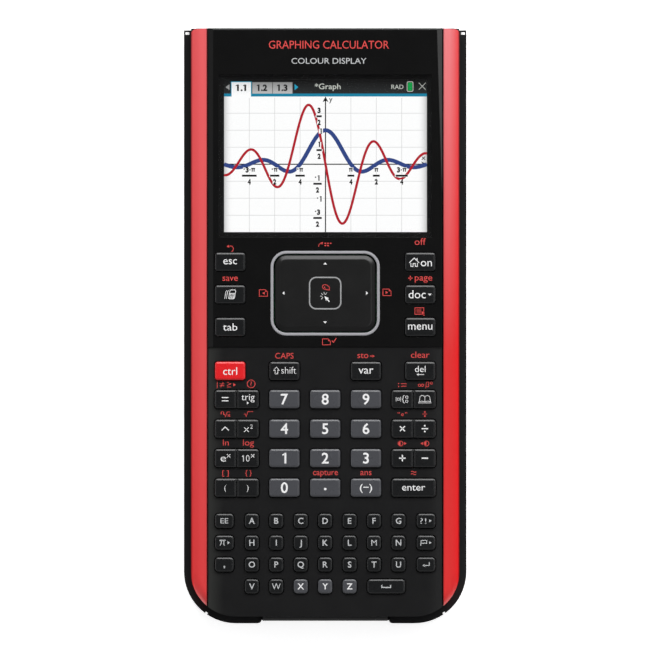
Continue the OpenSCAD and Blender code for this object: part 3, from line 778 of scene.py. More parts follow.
def cross(out, size, width, ink=0):
    for side in (-size / 2, size / 2):
        out.line([(-size / 2, -side), (size / 2, side)], width, ink)


def plus(out, size, width):
    out.bar(-size / 2, size / 2, 0, width)
    out.post(0, -size / 2, size / 2, width)


def book(out):
    """An open book seen from below, its leaves curling away from the spine."""
    leaf = [(0, 0.6), (0.35, 1.05), (0.95, 1.2), (1.5, 0.9), (1.85, -0.9), (1.0, -0.6), (0, -0.9)]
    for side in (-1, 1):
        out.line([(side * x, y) for x, y in leaf], 0.15)
        out.bar(side * 2.1, 0, -1.2, 0.13)
    out.post(0, 0.65, -0.9, 0.15)


def pi_sign(out):
    out.line([(-0.95, 0.55), (-0.6, 0.8), (0.95, 0.8)], 0.3)
    out.line([(-0.35, 0.75), (-0.45, -0.2), (-0.8, -0.85)], 0.27)
    out.line([(0.4, 0.75), (0.35, -0.6), (0.7, -0.8)], 0.27)


def flag(out):
    out.line([(-0.95, -0.95), (-0.8, 0.85)], 0.26)
    out.line([(-0.8, 0.8), (-0.2, 0.65), (0.4, 0.8), (1.0, 0.65), (0.9, -0.25), (0.3, -0.1),
              (-0.3, -0.25), (-0.88, -0.1)], 0.24)


def return_arrow(out):
    out.line([(1.05, 0.75), (1.05, -0.3), (-0.6, -0.3)], 0.27)
    out.pointer(-0.75, -0.3, 0.8, 0.9, 180)


def space_mark(out):
    out.line(mirrored([(-1.4, 0.45), (-1.4, -0.35)]), 0.34)


def undo(out):
    out.line(arc(0.12, -0.35, 0.92, 118, -72), 0.2)
    out.pointer(-0.75, 0.4, 0.75, 0.95, 195)


def page(out, w=2.5, h=1.9):
    """A sheet with a folded corner."""
    x, y, fold = w / 2, h / 2, 0.7
    out.line([(-x, -y), (x, -y), (x, y - fold), (x - fold, y), (-x, y)], 0.19, closed=True)
    out.plate([(x, y - fold), (x - fold, y), (x - fold, y - fold)])


def grid_jump(out):
    """A curved arrow beside a grid of five dots."""
    out.line(arc(-0.9, -0.75, 1.25, 178, 110, 6), 0.17)
    out.pointer(-0.95, 0.5, 0.8, 0.8, 45)
    for column in range(3):
        for row in range(2 if column < 2 else 1):
            out.box(0.05 + 0.85 * column, 0.35 - 0.72 * row, 0.52, 0.38)


def menu_list(out):
    """A sheet of lines with a hand on its corner."""
    out.line([(-1.45, -1.05), (1.4, -1.05), (1.4, 1.05), (-1.45, 1.05)], 0.19, closed=True)
    for row in range(4):
        out.bar(-0.95, 0.6, 0.6 - 0.4 * row, 0.13)
    out.plate([(0.75, -0.05), (1.75, -0.75), (1.4, -0.85), (1.65, -1.45), (1.35, -1.55), (1.1, -0.95),
               (0.75, -1.15)])


def query(out):
    out.ring(0, 0, 1.25, 0.2, 350, 20)
    out.words("?", 0, 0, 1.45, weight=0.0)


def unequal(out):
    for side in (-0.3, 0.3):
        out.bar(-0.75, 0.75, side, 0.18)
    out.line([(-0.4, -0.85), (0.4, 0.85)], 0.17)


def at_least(out):
    out.line([(-0.65, 0.85), (0.65, 0.3), (-0.65, -0.25)], 0.18)
    out.bar(-0.65, 0.65, -0.7, 0.18)


def assign(out):
    for side in (-1, 1):
        out.dot(-1.2, side * 0.48 - 0.05, 0.2)
        out.bar(-0.45, 1.35, side * 0.4 - 0.05, 0.2)


def symbols(out):
    """Infinity, beta and a degree mark."""
    for side in (-1, 1):
        out.ring(side * 0.48 - 1.4, -0.15, 0.4, 0.17, 340)
    out.line([(0.1, -1.15), (0.35, 0.55)] + arc(0.75, 0.55, 0.42, 160, -60, 6)
             + arc(0.7, -0.25, 0.42, 60, -150, 6), 0.17)
    out.ring(1.95, 0.55, 0.36, 0.17, 330, 8)


def root(out, w):
    """The hook and bar of a root."""
    hook = [(0, -0.1), (0.4, 0.05), (0.75, -0.85), (1.25, 0.75), (w, 0.75)]
    out.line([(x - w / 2, y) for x, y in hook], 0.18)


def two_boxes(out):
    """A fraction of two empty boxes."""
    for side in (-0.66, 0.66):
        out.box(0, side, 0.48, 0.48)
    out.bar(-0.75, 0.75, 0, 0.15)


def half_disc(out):
    """A circle filled on its left, for contrast."""
    out.ring(0, 0, 0.8, 0.2, 345, 18)
    out.plate(arc(0, 0, 0.8, 90, 270))


def quotes(out):
    """A small ring between two pairs of marks."""
    for place in (-1.42, -1.0, 1.0, 1.42):
        out.post(place, 0.6, 0.15, 0.17)
    out.ring(0, -0.25, 0.33, 0.18)


def about(out):
    for side in (-0.38, 0.38):
        out.line([(1.7 * (i / 8 - 0.5), side + 0.17 * math.sin(math.tau * i / 8)) for i in range(9)], 0.21)


def click(out):
    """A pointer with rays round its tip."""
    for turn in (58, 96, 138, 180, 222):
        out.line([direction(turn) * reach for reach in (0.6, 1.35)], 0.14)
    out.plate([(0, 0), (1.45, -0.6), (0.95, -0.85), (1.75, -1.6), (1.45, -1.85), (0.72, -1.05),
               (0.55, -1.5)])


def link(out):
    """A looped sheet, over the pointer."""
    out.line(arc(-0.45, 0.05, 0.72, 90, 300), 0.19, ink=1)
    out.line([(-0.45, 0.77), (0.35, 0.6), (1.05, -0.05), (1.0, -0.95), (-0.2, -0.8)], 0.19, ink=1)
    out.dot(-0.5, -0.05, 0.2, ink=1)


def equals(out):
    for side in (-0.52, 0.52):
        out.bar(-1.2, 0.95, side, 0.3)


def caret(out):
    out.line([(-1.25, -0.55), (-0.1, 0.55), (1.05, -0.55)], 0.27)


def divide(out):
    out.bar(-1.05, 1.05, 0, 0.36)
    for side in (-0.92, 0.92):
        out.dot(0, side, 0.27)


# ---------- keys ----------

def cap_size(node, side_flange):
    low, high = node_box(node)
    return high.x - low.x - 2 * side_flange, high.y - low.y - 2 * FLANGE


def underside(solid, x, y, w, h, flanges, low, high, stem, radius, stem_xs=(0,)):
    """Flange that holds a cap in, and the plungers under it. stem is their width, depth and rounding."""
    side, end = flanges
    solid.loft([at(rounded(x, y, w + 2 * side, h + 2 * end, [radius + 0.3] * 4), z) for z in (low, high)])
    for offset in stem_xs:
        foot = rounded(x + offset, y, stem[0], stem[1], [stem[2]] * 4)
        solid.loft([at(foot, PLUNGER_Z), at(foot, low + 0.05)])


def key_piece(node, material, slot, side_flange=FLANGE):
    """A single keycap with its flange and plunger."""
    x, y = node_centre(node)
    w, h = cap_size(node, side_flange)
    solid = Solid()
    block(solid, x, y, w, h, [CAP_RADIUS] * 4, CAP_LOW, CAP_Z)
    underside(solid, x, y, w, h, (side_flange, FLANGE), *FLANGE_LEVELS, (3.4, 2.2, 0.6), CAP_RADIUS)
    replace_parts(solid.object(node + "_cap", node, [material], slot), node)


def rocker_piece(node, material, slot):
    """Two half caps over one base, with a groove between them."""
    x, y = node_centre(node)
    w, h = cap_size(node, WIDE_FLANGE)
    half = (w - ROCKER_SPLIT) / 2
    outer, inner = CAP_RADIUS, 0.22
    solid = Solid()
    block(solid, x, y, w, h, [outer] * 4, 13.0, CAP_Z - 0.8)
    for side, radii in ((-1, [inner, outer, outer, inner]), (1, [outer, inner, inner, outer])):
        block(solid, x + side * (half + ROCKER_SPLIT) / 2, y, half, h, radii, 15.0, CAP_Z)
    underside(solid, x, y, w, h, (WIDE_FLANGE, FLANGE), *ROCKER_FLANGE_LEVELS, (2.6, 2.2, 0.6), outer,
              (-4.3, 4.3))
    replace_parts(solid.object(node + "_cap", node, [material], slot), node)


def small_piece(name, body, x, y, w, material, slot="key_black"):
    """A small cap of the letter pad."""
    solid = Solid()
    block(solid, x, y, w, LETTER_H, [1.1] * 4, CAP_LOW, CAP_Z, 0.28, 0.26, 0.12)
    underside(solid, x, y, w, LETTER_H, (0.4, 0.4), *FLANGE_LEVELS, (1.8, 1.8, 0.88), 1.0)
    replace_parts(solid.object(name, body, [material], slot), body)


def key_legends(inks):
    """Legends on the single caps and the rockers."""
    def legend(node, draw, *details):
        out = Print(CAP_Z, origin=node_centre(node))
        draw(out, *details)
        out.place(node + "_legend", node, inks)

    for digit in "7894561230":
        legend("key_" + digit, Print.words, digit, 0, 0, 3.3, None, 0.015)
    plain = {"key_escape": ("esc", 4.4, 2.45, 0.0), "key_tab": ("tab", 4.6, 2.25, -0.4),
             "key_menu": ("menu", 7.8, 2.5, -0.05), "key_ctrl": ("ctrl", 4.5, 2.4, -0.45),
             "key_var": ("var", 4.8, 2.5, -0.05), "key_enter": ("enter", 7.4, 2.2, -0.2)}
    for node, (text, width, cap, rise) in plain.items():
        legend(node, Print.words, text, 0, rise, cap, width, 0.0)
    legend("key_scratchpad", Print.draw, scratchpad, 0.15, 0)
    legend("key_point", Print.dot, 0, -0.45, 0.42)
    legend("key_negate", Print.words, "(−)", 0, 0.1, 2.1, 3.9, 0.006)

    def on(out):
        out.draw(house, -1.95, -0.1)
        out.words("on", 1.95, -0.6, 2.5, 3.6, 0.0)

    def document(out):
        out.words("doc", -1.0, -0.4, 2.55, 5.5, 0.0)
        out.pointer(3.05, -0.15, 0.75, 1.15, 270)

    def shift(out):
        out.draw(shift_arrow, -2.55, 0.15)
        out.words("shift", 1.4, -0.15, 2.2, 4.75, -0.012)

    def delete(out):
        out.words("del", 0, 0.3, 1.95, 3.4, -0.003)
        arrow(out, 1.25, -1.2, -1.15, 0.18, 0.75)

    for node, draw in (("key_on", on), ("key_document", document), ("key_shift", shift),
                       ("key_delete", delete)):
        legend(node, draw)

    def trig(out):
        out.words("trig", 0, 0.35, 2.1, 4.2, -0.004)
        out.pointer(0, -1.2, 0.7, 0.9, 0)

    def square(out):
        out.draw(cross, -0.5, -0.3, 1.5, 0.22)
        out.words("2", 1.1, 0.65, 1.35, None, -0.01)

    def power_e(out):
        out.words("e", -0.7, -0.3, 2.35, 1.7, -0.006)
        out.draw(cross, 1.0, 0.75, 1.1, 0.18)

    def power_ten(out):
        out.words("10", -0.7, -0.05, 2.1, 2.4, -0.014)
        out.draw(cross, 1.5, 0.75, 1.1, 0.18)

    bracket = (-0.1, 0.05, 1.85, None, -0.014)
    halves = {"key_equals_trig": ([equals], [trig]), "key_power_square": ([caret], [square]),
              "key_exponentials": ([power_e], [power_ten]),
              "key_brackets": ([Print.words, "(", *bracket], [Print.words, ")", *bracket]),
              "key_template_catalog": ([template], [book]),
              "key_times_divide": ([cross, 1.6, 0.36], [divide]),
              "key_plus_minus": ([plus, 2.1, 0.38], [Print.bar, -1.05, 1.05, 0, 0.42])}

    def pair(out, left, right):
        out.draw(left[0], -3.6, 0, *left[1:])
        out.draw(right[0], 3.6, 0, *right[1:])

    for node, (left, right) in halves.items():
        legend(node, pair, left, right)


def letter_pad(black, grey, inks):
    """The four rows of small keys, with a legend for each row."""
    left, right = -SIDE_KEY_X, SIDE_KEY_X
    for row, letters in enumerate(LETTER_ROWS, 1):
        body = f"letter_keys_row_{row}"
        y = node_centre(body)[1]
        out = Print(CAP_Z, origin=(0, y))
        for column, letter in enumerate(letters):
            x = (column - 3) * LETTER_PITCH
            on_grey = letter in "XYZ"
            shade, slot = (grey, "key_grey") if on_grey else (black, "key_black")
            small_piece("cap_" + letter.lower(), body, x, y, LETTER_W, shade, slot)
            out.words(letter, x, 0, 1.85, weight=0.0 if letter in "MW" else 0.014, ink=int(on_grey))
        if row < 4:
            small_piece(f"cap_left_{row}", body, left, y, SIDE_KEY_W, black)
            small_piece(f"cap_right_{row}", body, right, y, SIDE_KEY_W, black)
        if row == 1:
            out.words("EE", left, 0, 1.65, 2.5, 0.0)
            out.words("?!", right - 0.85, -0.05, 1.75, 1.95, -0.006)
            out.pointer(right + 1.4, 0, 0.8, 0.95, 0)
        elif row == 2:
            out.draw(pi_sign, left - 0.55, 0)
            out.draw(flag, right - 0.75, 0)
            for side in (left, right):
                out.pointer(side + 1.4, 0, 0.8, 0.95, 0)
        elif row == 3:
            out.words(",", left, 0.25, 2.2, weight=0.01)
            out.draw(return_arrow, right, 0)
        else:
            small_piece("cap_space", body, SPACE_X, y, SPACE_W, black)
            out.draw(space_mark, SPACE_X, 0)
        out.place(body + "_legends", body, inks)


# ---------- face prints ----------

def fascia_prints(inks):
    """Red second functions round the touchpad and the keys beside it, and a plain title."""
    out = Print(FASCIA_Z)
    key_x = node_centre("key_on")[0]
    on_y, document_y, menu_y = [node_centre(n)[1] for n in ("key_on", "key_document", "key_menu")]
    pad_y = node_centre("touchpad_trim_ring")[1]
    out.draw(undo, -key_x, on_y + 4.5)
    out.words("off", key_x, on_y + 6.1, 2.1, 3.6, -0.006)
    out.words("save", -key_x, document_y + 5.0, 2.0, 4.9, 0.0)
    out.words("page", key_x + 1.05, document_y + 5.1, 2.0, 5.6, 0.0)
    out.draw(plus, key_x - 3.15, document_y + 5.2, 1.4, 0.3)
    out.draw(menu_list, key_x - 0.25, menu_y + 5.1)
    for side in (-1, 1):
        out.draw(page, side * 19.8, pad_y + 0.15 + side * 0.1, 2.6, 2.1)
        out.pointer(side * 19.75, pad_y + 0.1 + side * 0.1, 0.75, 0.95, 90 - side * 90)
    out.draw(grid_jump, 0, pad_y + 15.6)
    out.draw(page, 0.4, pad_y - 15.6)
    out.line([(2.1, pad_y - 15.2), (2.65, pad_y - 15.75), (3.6, pad_y - 14.4)], 0.26)
    out.place("fascia_second_functions", BODY, inks[1:])
    title = Print(FASCIA_Z)
    title.words("GRAPHING CALCULATOR", 1.2, 90.1, 2.5, 38.5, 0.0, ink=1)
    title.words("COLOUR DISPLAY", 1.2, 84.9, 1.8, 24, 0.0)
    title.place("fascia_title", BODY, inks)


def keypad_prints(red):
    """Red second functions on the keypad face."""
    out = Print(FACE_Z, bend=crown_drop)
    left = node_centre("key_equals_trig")[0]
    right = -left
    trig_y, power_y, log_y, bracket_y = [
        node_centre(n)[1] + 4.7
        for n in ("key_equals_trig", "key_power_square", "key_exponentials", "key_brackets")]
    trig_y -= 0.1
    shift_x, shift_y = node_centre("key_shift")
    delete_x, _ = node_centre("key_delete")
    var_x, _ = node_centre("key_var")
    for text, x, y, cap, width, weight in (
            ("CAPS", shift_x, shift_y + 4.85, 1.8, 5.9, -0.002),
            ("clear", delete_x, shift_y + 4.85, 2.0, 5.95, -0.002),
            ("sto", var_x - 1.0, shift_y + 4.75, 2.0, 3.5, -0.002),
            ("n", left - 4.6, power_y + 0.35, 1.35, 1.0, 0.0),
            ("ln", left - 3.5, log_y, 1.95, 1.85, -0.004),
            ("log", left + 3.75, log_y, 1.95, 3.5, -0.004),
            ("[ ]", left - 3.6, bracket_y + 0.1, 1.5, 2.05, 0.0),
            ("{ }", left + 3.75, bracket_y + 0.1, 1.5, 2.05, 0.0),
            ("capture", 0.1, bracket_y - 0.05, 1.95, 8.0, 0.0),
            ("ans", node_centre("key_negate")[0], bracket_y - 0.05, 1.95, 3.6, 0.0)):
        out.words(text, x, y, cap, width, weight)
    arrow(out, var_x + 1.25, var_x + 2.85, shift_y + 4.75, 0.26, 0.85)
    out.post(left - 6.25, trig_y - 1.1, trig_y + 1.1, 0.2)
    for icon, x, y, *details in (
            (unequal, left - 4.75, trig_y), (at_least, left - 2.5, trig_y),
            (query, left + 4.6, trig_y + 0.3), (assign, right - 3.6, trig_y),
            (symbols, right + 3.75, trig_y), (root, left - 3.25, power_y - 0.1, 2.2),
            (cross, left - 2.55, power_y - 0.45, 0.75, 0.2), (root, left + 3.75, power_y, 2.9),
            (quotes, right - 3.6, power_y), (two_boxes, right + 3.6, power_y),
            (half_disc, right - 4.2, log_y), (half_disc, right + 4.1, log_y),
            (about, right, bracket_y)):
        out.draw(icon, x, y, *details)
    out.pointer(left - 0.7, trig_y, 0.8, 1.0, 0)
    out.pointer(right - 2.65, log_y, 0.75, 0.95, 0)
    out.pointer(right + 2.6, log_y, 0.75, 0.95, 180)
    out.place("keypad_second_functions", BODY, [red])


# ---------- touchpad ----------

def touchpad(pad_material, ring_material, inks, line_ink):
    """The trim ring, the floating cover with its sloped rim, and the prints on it."""
    low, high = node_box("touchpad_trim_ring")
    x, y = node_centre("touchpad_trim_ring")
    w, h = high.x - low.x, high.y - low.y - 0.24
    outer, inner, steps = 0.11, 1.01, 5
    turns = [math.radians(90 * step / steps) for step in range(steps + 1)]
    drawn = [(RING_EDGE * (1 - math.cos(a)), high.z - RING_EDGE * (1 - math.sin(a))) for a in turns]
    profile = [(outer + inset, z) for inset, z in drawn] + [(inner - inset, z) for inset, z in drawn[::-1]]
    ring = Solid()
    ring.loft([at(rounded(x, y - 0.06, w, h, [5.2] * 4, inset, 10), z)
               for inset, z in profile + [(inner, low.z), (outer, low.z)]], closed_loop=True)
    piece = ring.object("touchpad_ring", BODY, [ring_material], "ring_grey")
    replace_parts(piece, "touchpad_trim_ring")

    low, high = node_box("touchpad_cover")
    w, h, top = high.x - low.x - 0.1, high.y - low.y - 0.3, high.z
    profile = [(0, low.z), (0, top - 0.72), (0.04, top - 0.64), (0.14, top - 0.58), (1.1, top - 0.12),
               (1.3, top - 0.045), (1.6, top - 0.02), (4.0, top - 0.015)]
    cover = Solid()
    cover.loft([at(rounded(x, y - 0.08, w, h, [3.7] * 4, inset, 10), z) for inset, z in profile])
    piece = cover.object("touchpad_pad", "touchpad_cover", [pad_material], "pad_black")
    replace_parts(piece, "touchpad_cover")

    out = Print(top - 0.014, origin=(x, y))
    for px, py, turn in ((0, 9.5, 90), (0, -9.4, 270), (-13.4, 0, 180), (13.4, 0, 0)):
        out.pointer(px, py, 0.68, 1.15, turn)
    out.draw(click, -0.25, -1.0)
    out.draw(link, 0.3, 1.95)
    out.place("touchpad_legends", "touchpad_cover", inks)
    zone = Print(top - 0.014, origin=(x, y))
    zone.line(rounded(0, 0, 10.0, 10.05, [2.1] * 4, 0, 8), 0.42, closed=True)
    zone.place("touchpad_click_zone", "touchpad_cover", [line_ink])


# ---------- display ----------

def sinc(x):
    u = math.pi * x / GRID_X
    return AXIS_Y + 2 * GRID_Y * (math.sin(u) / u if abs(u) > 1e-6 else 1.0)


def sinc_slope(x):
    u = math.pi * x / GRID_X
    slope = math.cos(u) / u - math.sin(u) / (u * u) if abs(u) > 0.01 else -u / 3
    return AXIS_Y + 8 * GRID_Y * slope


class Layer(Print):
    """Legends on one layer of the picture, which lies on the display panel."""

    def __init__(self, number):
        panel_top = node_box("display_panel")[1].z
        super().__init__(panel_top + (number + 1) * LAYER, origin=(PICTURE_X, 0.0))

    def show(self, name, *inks):
        self.place("display_" + name, BODY, list(inks))


def display():
    """The picture as thin lit layers on the panel, under a mask and the clear window."""
    window_low, window_high = node_box("display_window")
    _, middle = node_centre("display_window")
    low, high = middle - PICTURE_H / 2, middle + PICTURE_H / 2
    half = PICTURE_W / 2
    for name, bottom, top, material in (
            ("page", low, LINE_LOW, lit("page_white", "#ffffff", PAGE_GLOW, side_shade=True)),
            ("status_bar", BAR_LOW, high, lit("bar_dark", "#131313", 1.0, "#2f3132", (BAR_LOW, high))),
            ("bar_line", LINE_LOW, BAR_LOW, lit("bar_teal", "#1f85a6"))):
        band = Layer(0)
        band.box(0, (bottom + top) / 2, PICTURE_W, top - bottom)
        band.show(name, material)
    tabs_and_signs()
    graph(low, half)
    display_numbers()

    z = window_low.z
    outer, inner = [
        [(x0, y0), (x1, y0), (x1, y1), (x0, y1)]
        for x0, y0, x1, y1 in ((window_low.x, window_low.y, window_high.x, window_high.y),
                               (PICTURE_X - half, low, PICTURE_X + half, high))]
    mask = Solid()
    mask.loft([at(outer, z), at(outer, z + 0.05), at(inner, z + 0.05), at(inner, z)], closed_loop=True)
    mask_black = plastic("mask_black", "#141414", 0.8, wear=0.0, specular=0.0)
    mask.object("display_mask", BODY, [mask_black], sharp=20)
    pane = Solid()
    w, h = window_high.x - window_low.x, window_high.y - window_low.y
    outline = rounded(0, middle, w, h, [0.05] * 4, steps=1)
    pane.loft([at(outline, z + 0.06), at(outline, window_high.z)])
    piece = pane.object("display_window_pane", BODY, [clear_window(), mask_black], "window_clear")
    for face in piece.data.polygons:
        face.material_index = int(abs(face.normal.z) < 0.5)
    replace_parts(piece, "display_window")


def tabs_and_signs():
    """What stands in the dark bar over the page."""
    tabs, signs = Layer(1), Layer(2)
    edges = [(-30.1, -23.9), (-23.45, -17.05), (-16.9, -10.6)]
    for number, (left, right) in enumerate(edges):
        bottom = BAR_LOW if number else LINE_LOW - 0.3
        tabs.box((left + right) / 2, (bottom + TAB_TOP) / 2, right - left, TAB_TOP - bottom, min(number, 1))
        signs.words(f"1.{number + 1}", (left + right) / 2 - 0.1, 76.3, 1.85, 3.35, 0.042)
    tabs.line([(-30.2, BAR_LOW), (-30.2, 78.2), (-23.8, 78.2), (-23.8, LINE_LOW)], 0.2, ink=2)
    tabs.pointer(-31.4, 76.5, 1.25, 1.9, 180, ink=3)
    tabs.pointer(-9.3, 76.5, 1.2, 1.9, 0, ink=2)
    tabs.show("tabs", lit("tab_white", "#e2e3e5", PAGE_GLOW, "#ffffff", (74, 78)),
              lit("tab_grey", "#8f8f8f", 1.0, "#c4c4c4", (BAR_LOW, TAB_TOP)),
              lit("tab_teal", "#2aa2c4"), lit("tab_arrow", "#9c9c9c"))
    signs.words("*Graph", 0.7, 76.75, 1.75, 8.3, 0.004, ink=1)
    signs.words("RAD", 23.05, 76.6, 1.35, 3.85, 0.0, ink=1)
    signs.line(rounded(27.1, 76.7, 1.9, 3.1, [0.45] * 4, steps=3), 0.18, ink=1, closed=True)
    signs.box(27.1, 76.7, 1.35, 2.55, ink=2)
    signs.draw(cross, 31.0, 76.8, 2.2, 0.15, 1)
    signs.show("signs", lit("sign_dark", "#1c1c1c"), lit("sign_light", "#d2d6cf"),
               lit("sign_green", "#17a04a"))


def graph(low, half):
    """The page's grid, axes and two curves."""
    grid = Layer(1)
    for step in range(-3, 4):
        grid.post(step * GRID_X, low, LINE_LOW - 0.4, 0.16)
        grid.bar(-half, half, AXIS_Y + step * GRID_Y, 0.16)
    grid.show("grid", lit("grid_grey", "#dadada"))

    axes = Layer(2)
    axes.bar(-half, half - 0.9, AXIS_Y, AXIS_WIDTH)
    axes.post(0, low, LINE_LOW - 0.9, AXIS_WIDTH)
    for tip, turn in (((half - 0.05, AXIS_Y), 0), ((0, LINE_LOW), 90)):
        tip, along, across = Vector(tip), direction(turn), direction(turn + 90) * 0.95
        axes.plate([tip, tip - along * 1.8 + across, tip - along * 1.3, tip - along * 1.8 - across])
    axes.show("axes", lit("axis_black", "#1a1a1a"))

    steps = 260
    xs = [-half + PICTURE_W * i / steps for i in range(steps + 1)]
    for number, name, formula, width, tone in ((3, "wide", sinc, 1.3, ("curve_blue", "#354a89")),
                                               (4, "thin", sinc_slope, 0.8, ("curve_red", "#b8222e"))):
        curve = Layer(number)
        curve.line([(x, formula(x)) for x in xs], width)
        curve.show("curve_" + name, lit(*tone))


def display_numbers():
    """Fractions along both axes, each on a small white patch over the curves."""
    patches, marks = Layer(5), Layer(6)
    widths = {"-": 0.42, "·": 0.3, "π": 1.24}
    gap = 0.24

    def number(x, y, parts):
        """Signs in a row about x: a short raised minus, figures, a product dot and a pi."""
        sizes = [widths.get(part, 1.02) for part in parts]
        total = sum(sizes) + gap * (len(parts) - 1)
        patches.box(x, y, total + 0.3, 1.5)
        left = x - total / 2
        for part, width in zip(parts, sizes):
            middle = left + width / 2
            if part == "-":
                marks.bar(left, left + width, y + 0.25, 0.4)
            elif part == "·":
                marks.dot(middle, y, 0.22)
            elif part == "π":
                marks.bar(left, left + width, y + 0.42, 0.36)
                for side in (-0.3, 0.3):
                    marks.post(middle + side, y + 0.42, y - 0.6, 0.34)
            else:
                marks.words(part, middle, y, 1.5, 0.62 if part == "1" else width, 0.06)
            left += width + gap

    def fraction(x, y, top, under, length):
        patches.box(x, y, length + 0.5, 0.75)
        marks.bar(x - length / 2, x + length / 2, y + 0.03, 0.62)
        number(x, y + 1.9, top)
        number(x, y - 1.95, under)

    for side, sign in ((-1, "-"), (1, "")):
        for step, top, under in ((1, "π", "4"), (2, "π", "2"), (3, "3·π", "4")):
            length = (2.2 if step < 3 else 3.9) + 0.8 * len(sign)
            fraction(side * step * GRID_X, 48.1, sign + top, under, length)
    for y, top, x, length in ((67.15, "3", -2.05, 1.7), (56.3, "1", -2.05, 1.7), (45.5, "-1", -2.55, 2.7),
                              (34.55, "-3", -2.55, 2.7)):
        fraction(x, y, top, "2", length)
    number(-1.5, 62.4, "1")
    number(-1.9, 40.7, "-1")
    marks.words("y", 1.7, 72.4, 1.6, None, 0.012)
    marks.draw(cross, 31.4, 53.75, 1.0, 0.26)
    patches.show("number_patches", lit("patch_white", "#ffffff", PAGE_GLOW))
    marks.show("numbers", lit("number_black", "#0c0c0c"))


# ---------- stage ----------

def stage():
    """Pale floor, soft lamps round the part and a camera straight above it."""
    mesh = bpy.data.meshes.new("floor")
    reach = 9.0
    corners = [(-reach, -reach, 0), (reach, -reach, 0), (reach, reach, 0), (-reach, reach, 0)]
    mesh.from_pydata(corners, [], [(0, 1, 2, 3)])
    mesh.materials.append(floor_pale())
    floor = put(mesh, "floor")
    floor.location.z = -0.0001

    lamp("lamp_display_end", (0.35, 1.75, 1.45), (3.2, 1.1), 72)
    lamp("lamp_keypad_end", (0.0, -1.9, 1.3), (2.2, 0.8), 1.2)
    lamp("lamp_left", (-1.9, 0.1, 0.8), (1.6, 0.6), 4.2)
    lamp("lamp_right", (1.9, 0.4, 0.8), (1.6, 0.6), 4.2)
    lamp("strip_left", (-0.78, 0.2, 2.1), (2.4, 0.4), 0.8)
    lamp("strip_right", (0.78, 0.2, 2.1), (2.4, 0.4), 4.8)

    world = bpy.data.worlds.new("studio")
    world.use_nodes = True
    nodes, links = world.node_tree.nodes, world.node_tree.links
    place = nodes.new("ShaderNodeTexCoord")
    axes = nodes.new("ShaderNodeSeparateXYZ")
    ramp = nodes.new("ShaderNodeValToRGB")
    low, high = ramp.color_ramp.elements
    low.color = (0.7, 0.7, 0.71, 1)
    high.color, high.position = (0.05, 0.05, 0.052, 1), 0.93
    links.new(place.outputs["Generated"], axes.inputs[0])
    links.new(axes.outputs["Z"], ramp.inputs[0])
    links.new(ramp.outputs[0], nodes["Background"].inputs["Color"])
    bpy.context.scene.world = world
    bpy.context.scene.view_settings.view_transform = "Standard"

    view_height = 208.26 * MM
    camera = bpy.data.cameras.new("camera")
    camera.lens, camera.sensor_width = 1000, 36
    camera.clip_end = 50
    holder = put(camera, "camera")
    distance = view_height * camera.lens / camera.sensor_width
    holder.location = (-0.06 * MM, 0.28 * MM, FACE_Z * MM + distance)
    bpy.context.scene.camera = holder


def lamp(name, place, size, power):
    """A soft box that looks at the part."""
    light = bpy.data.lights.new(name, "AREA")
    light.shape, light.size, light.size_y, light.energy = "RECTANGLE", size[0], size[1], power
    holder = put(light, name)
    holder.location = place
    holder.rotation_mode = "QUATERNION"
    holder.rotation_quaternion = (-Vector(place)).to_track_quat("-Z", "Y")


# ---------- the whole ----------

def shells():
    """The softened housings, trims and case."""
    # The keypad face gets a painted sheen near its left side through sides.
    face = plastic("face_black_matt", "#0e0e0f", 0.42, 0.3, specular=0.3, sides="#2c2d2b",
                   walls=(0.05, 0.05))
    gloss = plastic("fascia_black_gloss", "#0e0e0e", 0.18, 6.0, edge=0.08, patchy=0.03, walls=(0.3, 0.25))
    case = plastic("case_black_matt", "#171718", 0.46, 0.28, 0.006, specular=0.25, walls=(0.05, 0.05))
    trim = trim_red()
    back = plastic("back_black_matt", "#1b1b1c", 0.55, 0.35, 0.012)
    softened("front_housing", face, after=crown_face)
    softened("upper_fascia", gloss, 0.06, after=facet_fascia, sharp=15.0)
    for side in ("left", "right"):
        softened("side_trim_" + side, trim, 0.45, 4, after=slope_trim_end)
    softened("slide_case", case, 0.25, 3, before=round_lips)
    softened("rear_housing", back)
    softened("battery_door", back)


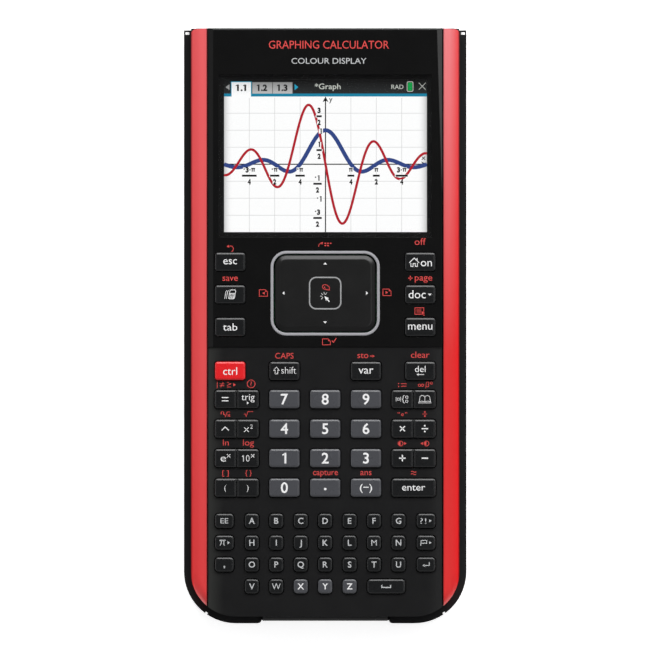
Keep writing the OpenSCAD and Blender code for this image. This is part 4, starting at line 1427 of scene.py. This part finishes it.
def keypad():
    """Every key with its legend, and the prints round them."""
    white, red, pale = ink("ink_white", "#f2f2f2"), ink("ink_red", "#dd4a47"), ink("ink_pale", "#c2c4c5")
    black, grey, scarlet = [
        plastic(name, colour, roughness, depth=0.001, wear=0.15)
        for name, colour, roughness in (("cap_black", "#151617", 0.27), ("cap_grey", "#47484c", 0.28),
                                        ("cap_red", "#dc1f24", 0.28))]
    for node in BLACK_KEYS:
        key_piece(node, black, "key_black")
    for node in GREY_KEYS:
        key_piece(node, grey, "key_grey")
    key_piece("key_ctrl", scarlet, "key_red")
    key_piece("key_enter", black, "key_black", WIDE_FLANGE)
    for node in ROCKER_KEYS:
        rocker_piece(node, black, "key_black")
    key_legends([white])
    letter_pad(black, grey, [pale, white])
    fascia_prints([pale, red])
    keypad_prints(red)
    touchpad(plastic("pad_black_satin", "#161616", 0.3, 0.2, 0.002, walls=(0.5, 0.7)),
             plastic("ring_grey_satin", "#9d9da1", 0.5, depth=0.002, patchy=0.03),
             [white, red], ink("ink_ring", "#a0a1a2"))


def finish_nodes():
    """Gives each CAD node that is still shown its material."""
    board = circuit_board()
    steel = metal("steel_plated", "#b9bcbf", 0.3)
    finishes = {
        "main_board": board, "touchpad_sensor_board": board,
        "board_components": plastic("chip_grey_epoxy", "#2b2c2e", 0.55, 0.12, 0.01),
        "keypad_membrane": plastic("membrane_silicone", "#868a8e", 0.6, 0.5, 0.01),
        "display_panel": plastic("panel_diffuser", "#d8dadc", 0.35, 0.3, 0.002),
        "display_frame": metal("frame_steel_brushed", "#a9adb0", 0.35),
        "usb_socket": steel, "housing_screws": steel, "battery_door_screws": steel,
        "status_light": plastic("light_pipe_frosted", "#cfd6d2", 0.3, 0.4, 0.003),
        "dock_connector": plastic("connector_nylon", "#151617", 0.45, 0.2),
        "rubber_feet": plastic("foot_rubber_matt", "#101010", 0.8, 0.25, 0.02),
        "reset_button": plastic("button_grey_satin", "#3d3f41", 0.45),
        "battery_pack": wrapped_cell(),
        "battery_lead": plastic("wire_red_pvc", "#b03a32", 0.4, 0.6, 0.01),
        "touchpad_carrier": plastic("carrier_grey_nylon", "#46484b", 0.5),
    }
    for node, material in finishes.items():
        for slot in frame["nodes"][node].material_slots:
            slot.material = material


shells()
keypad()
display()
finish_nodes()
stage()
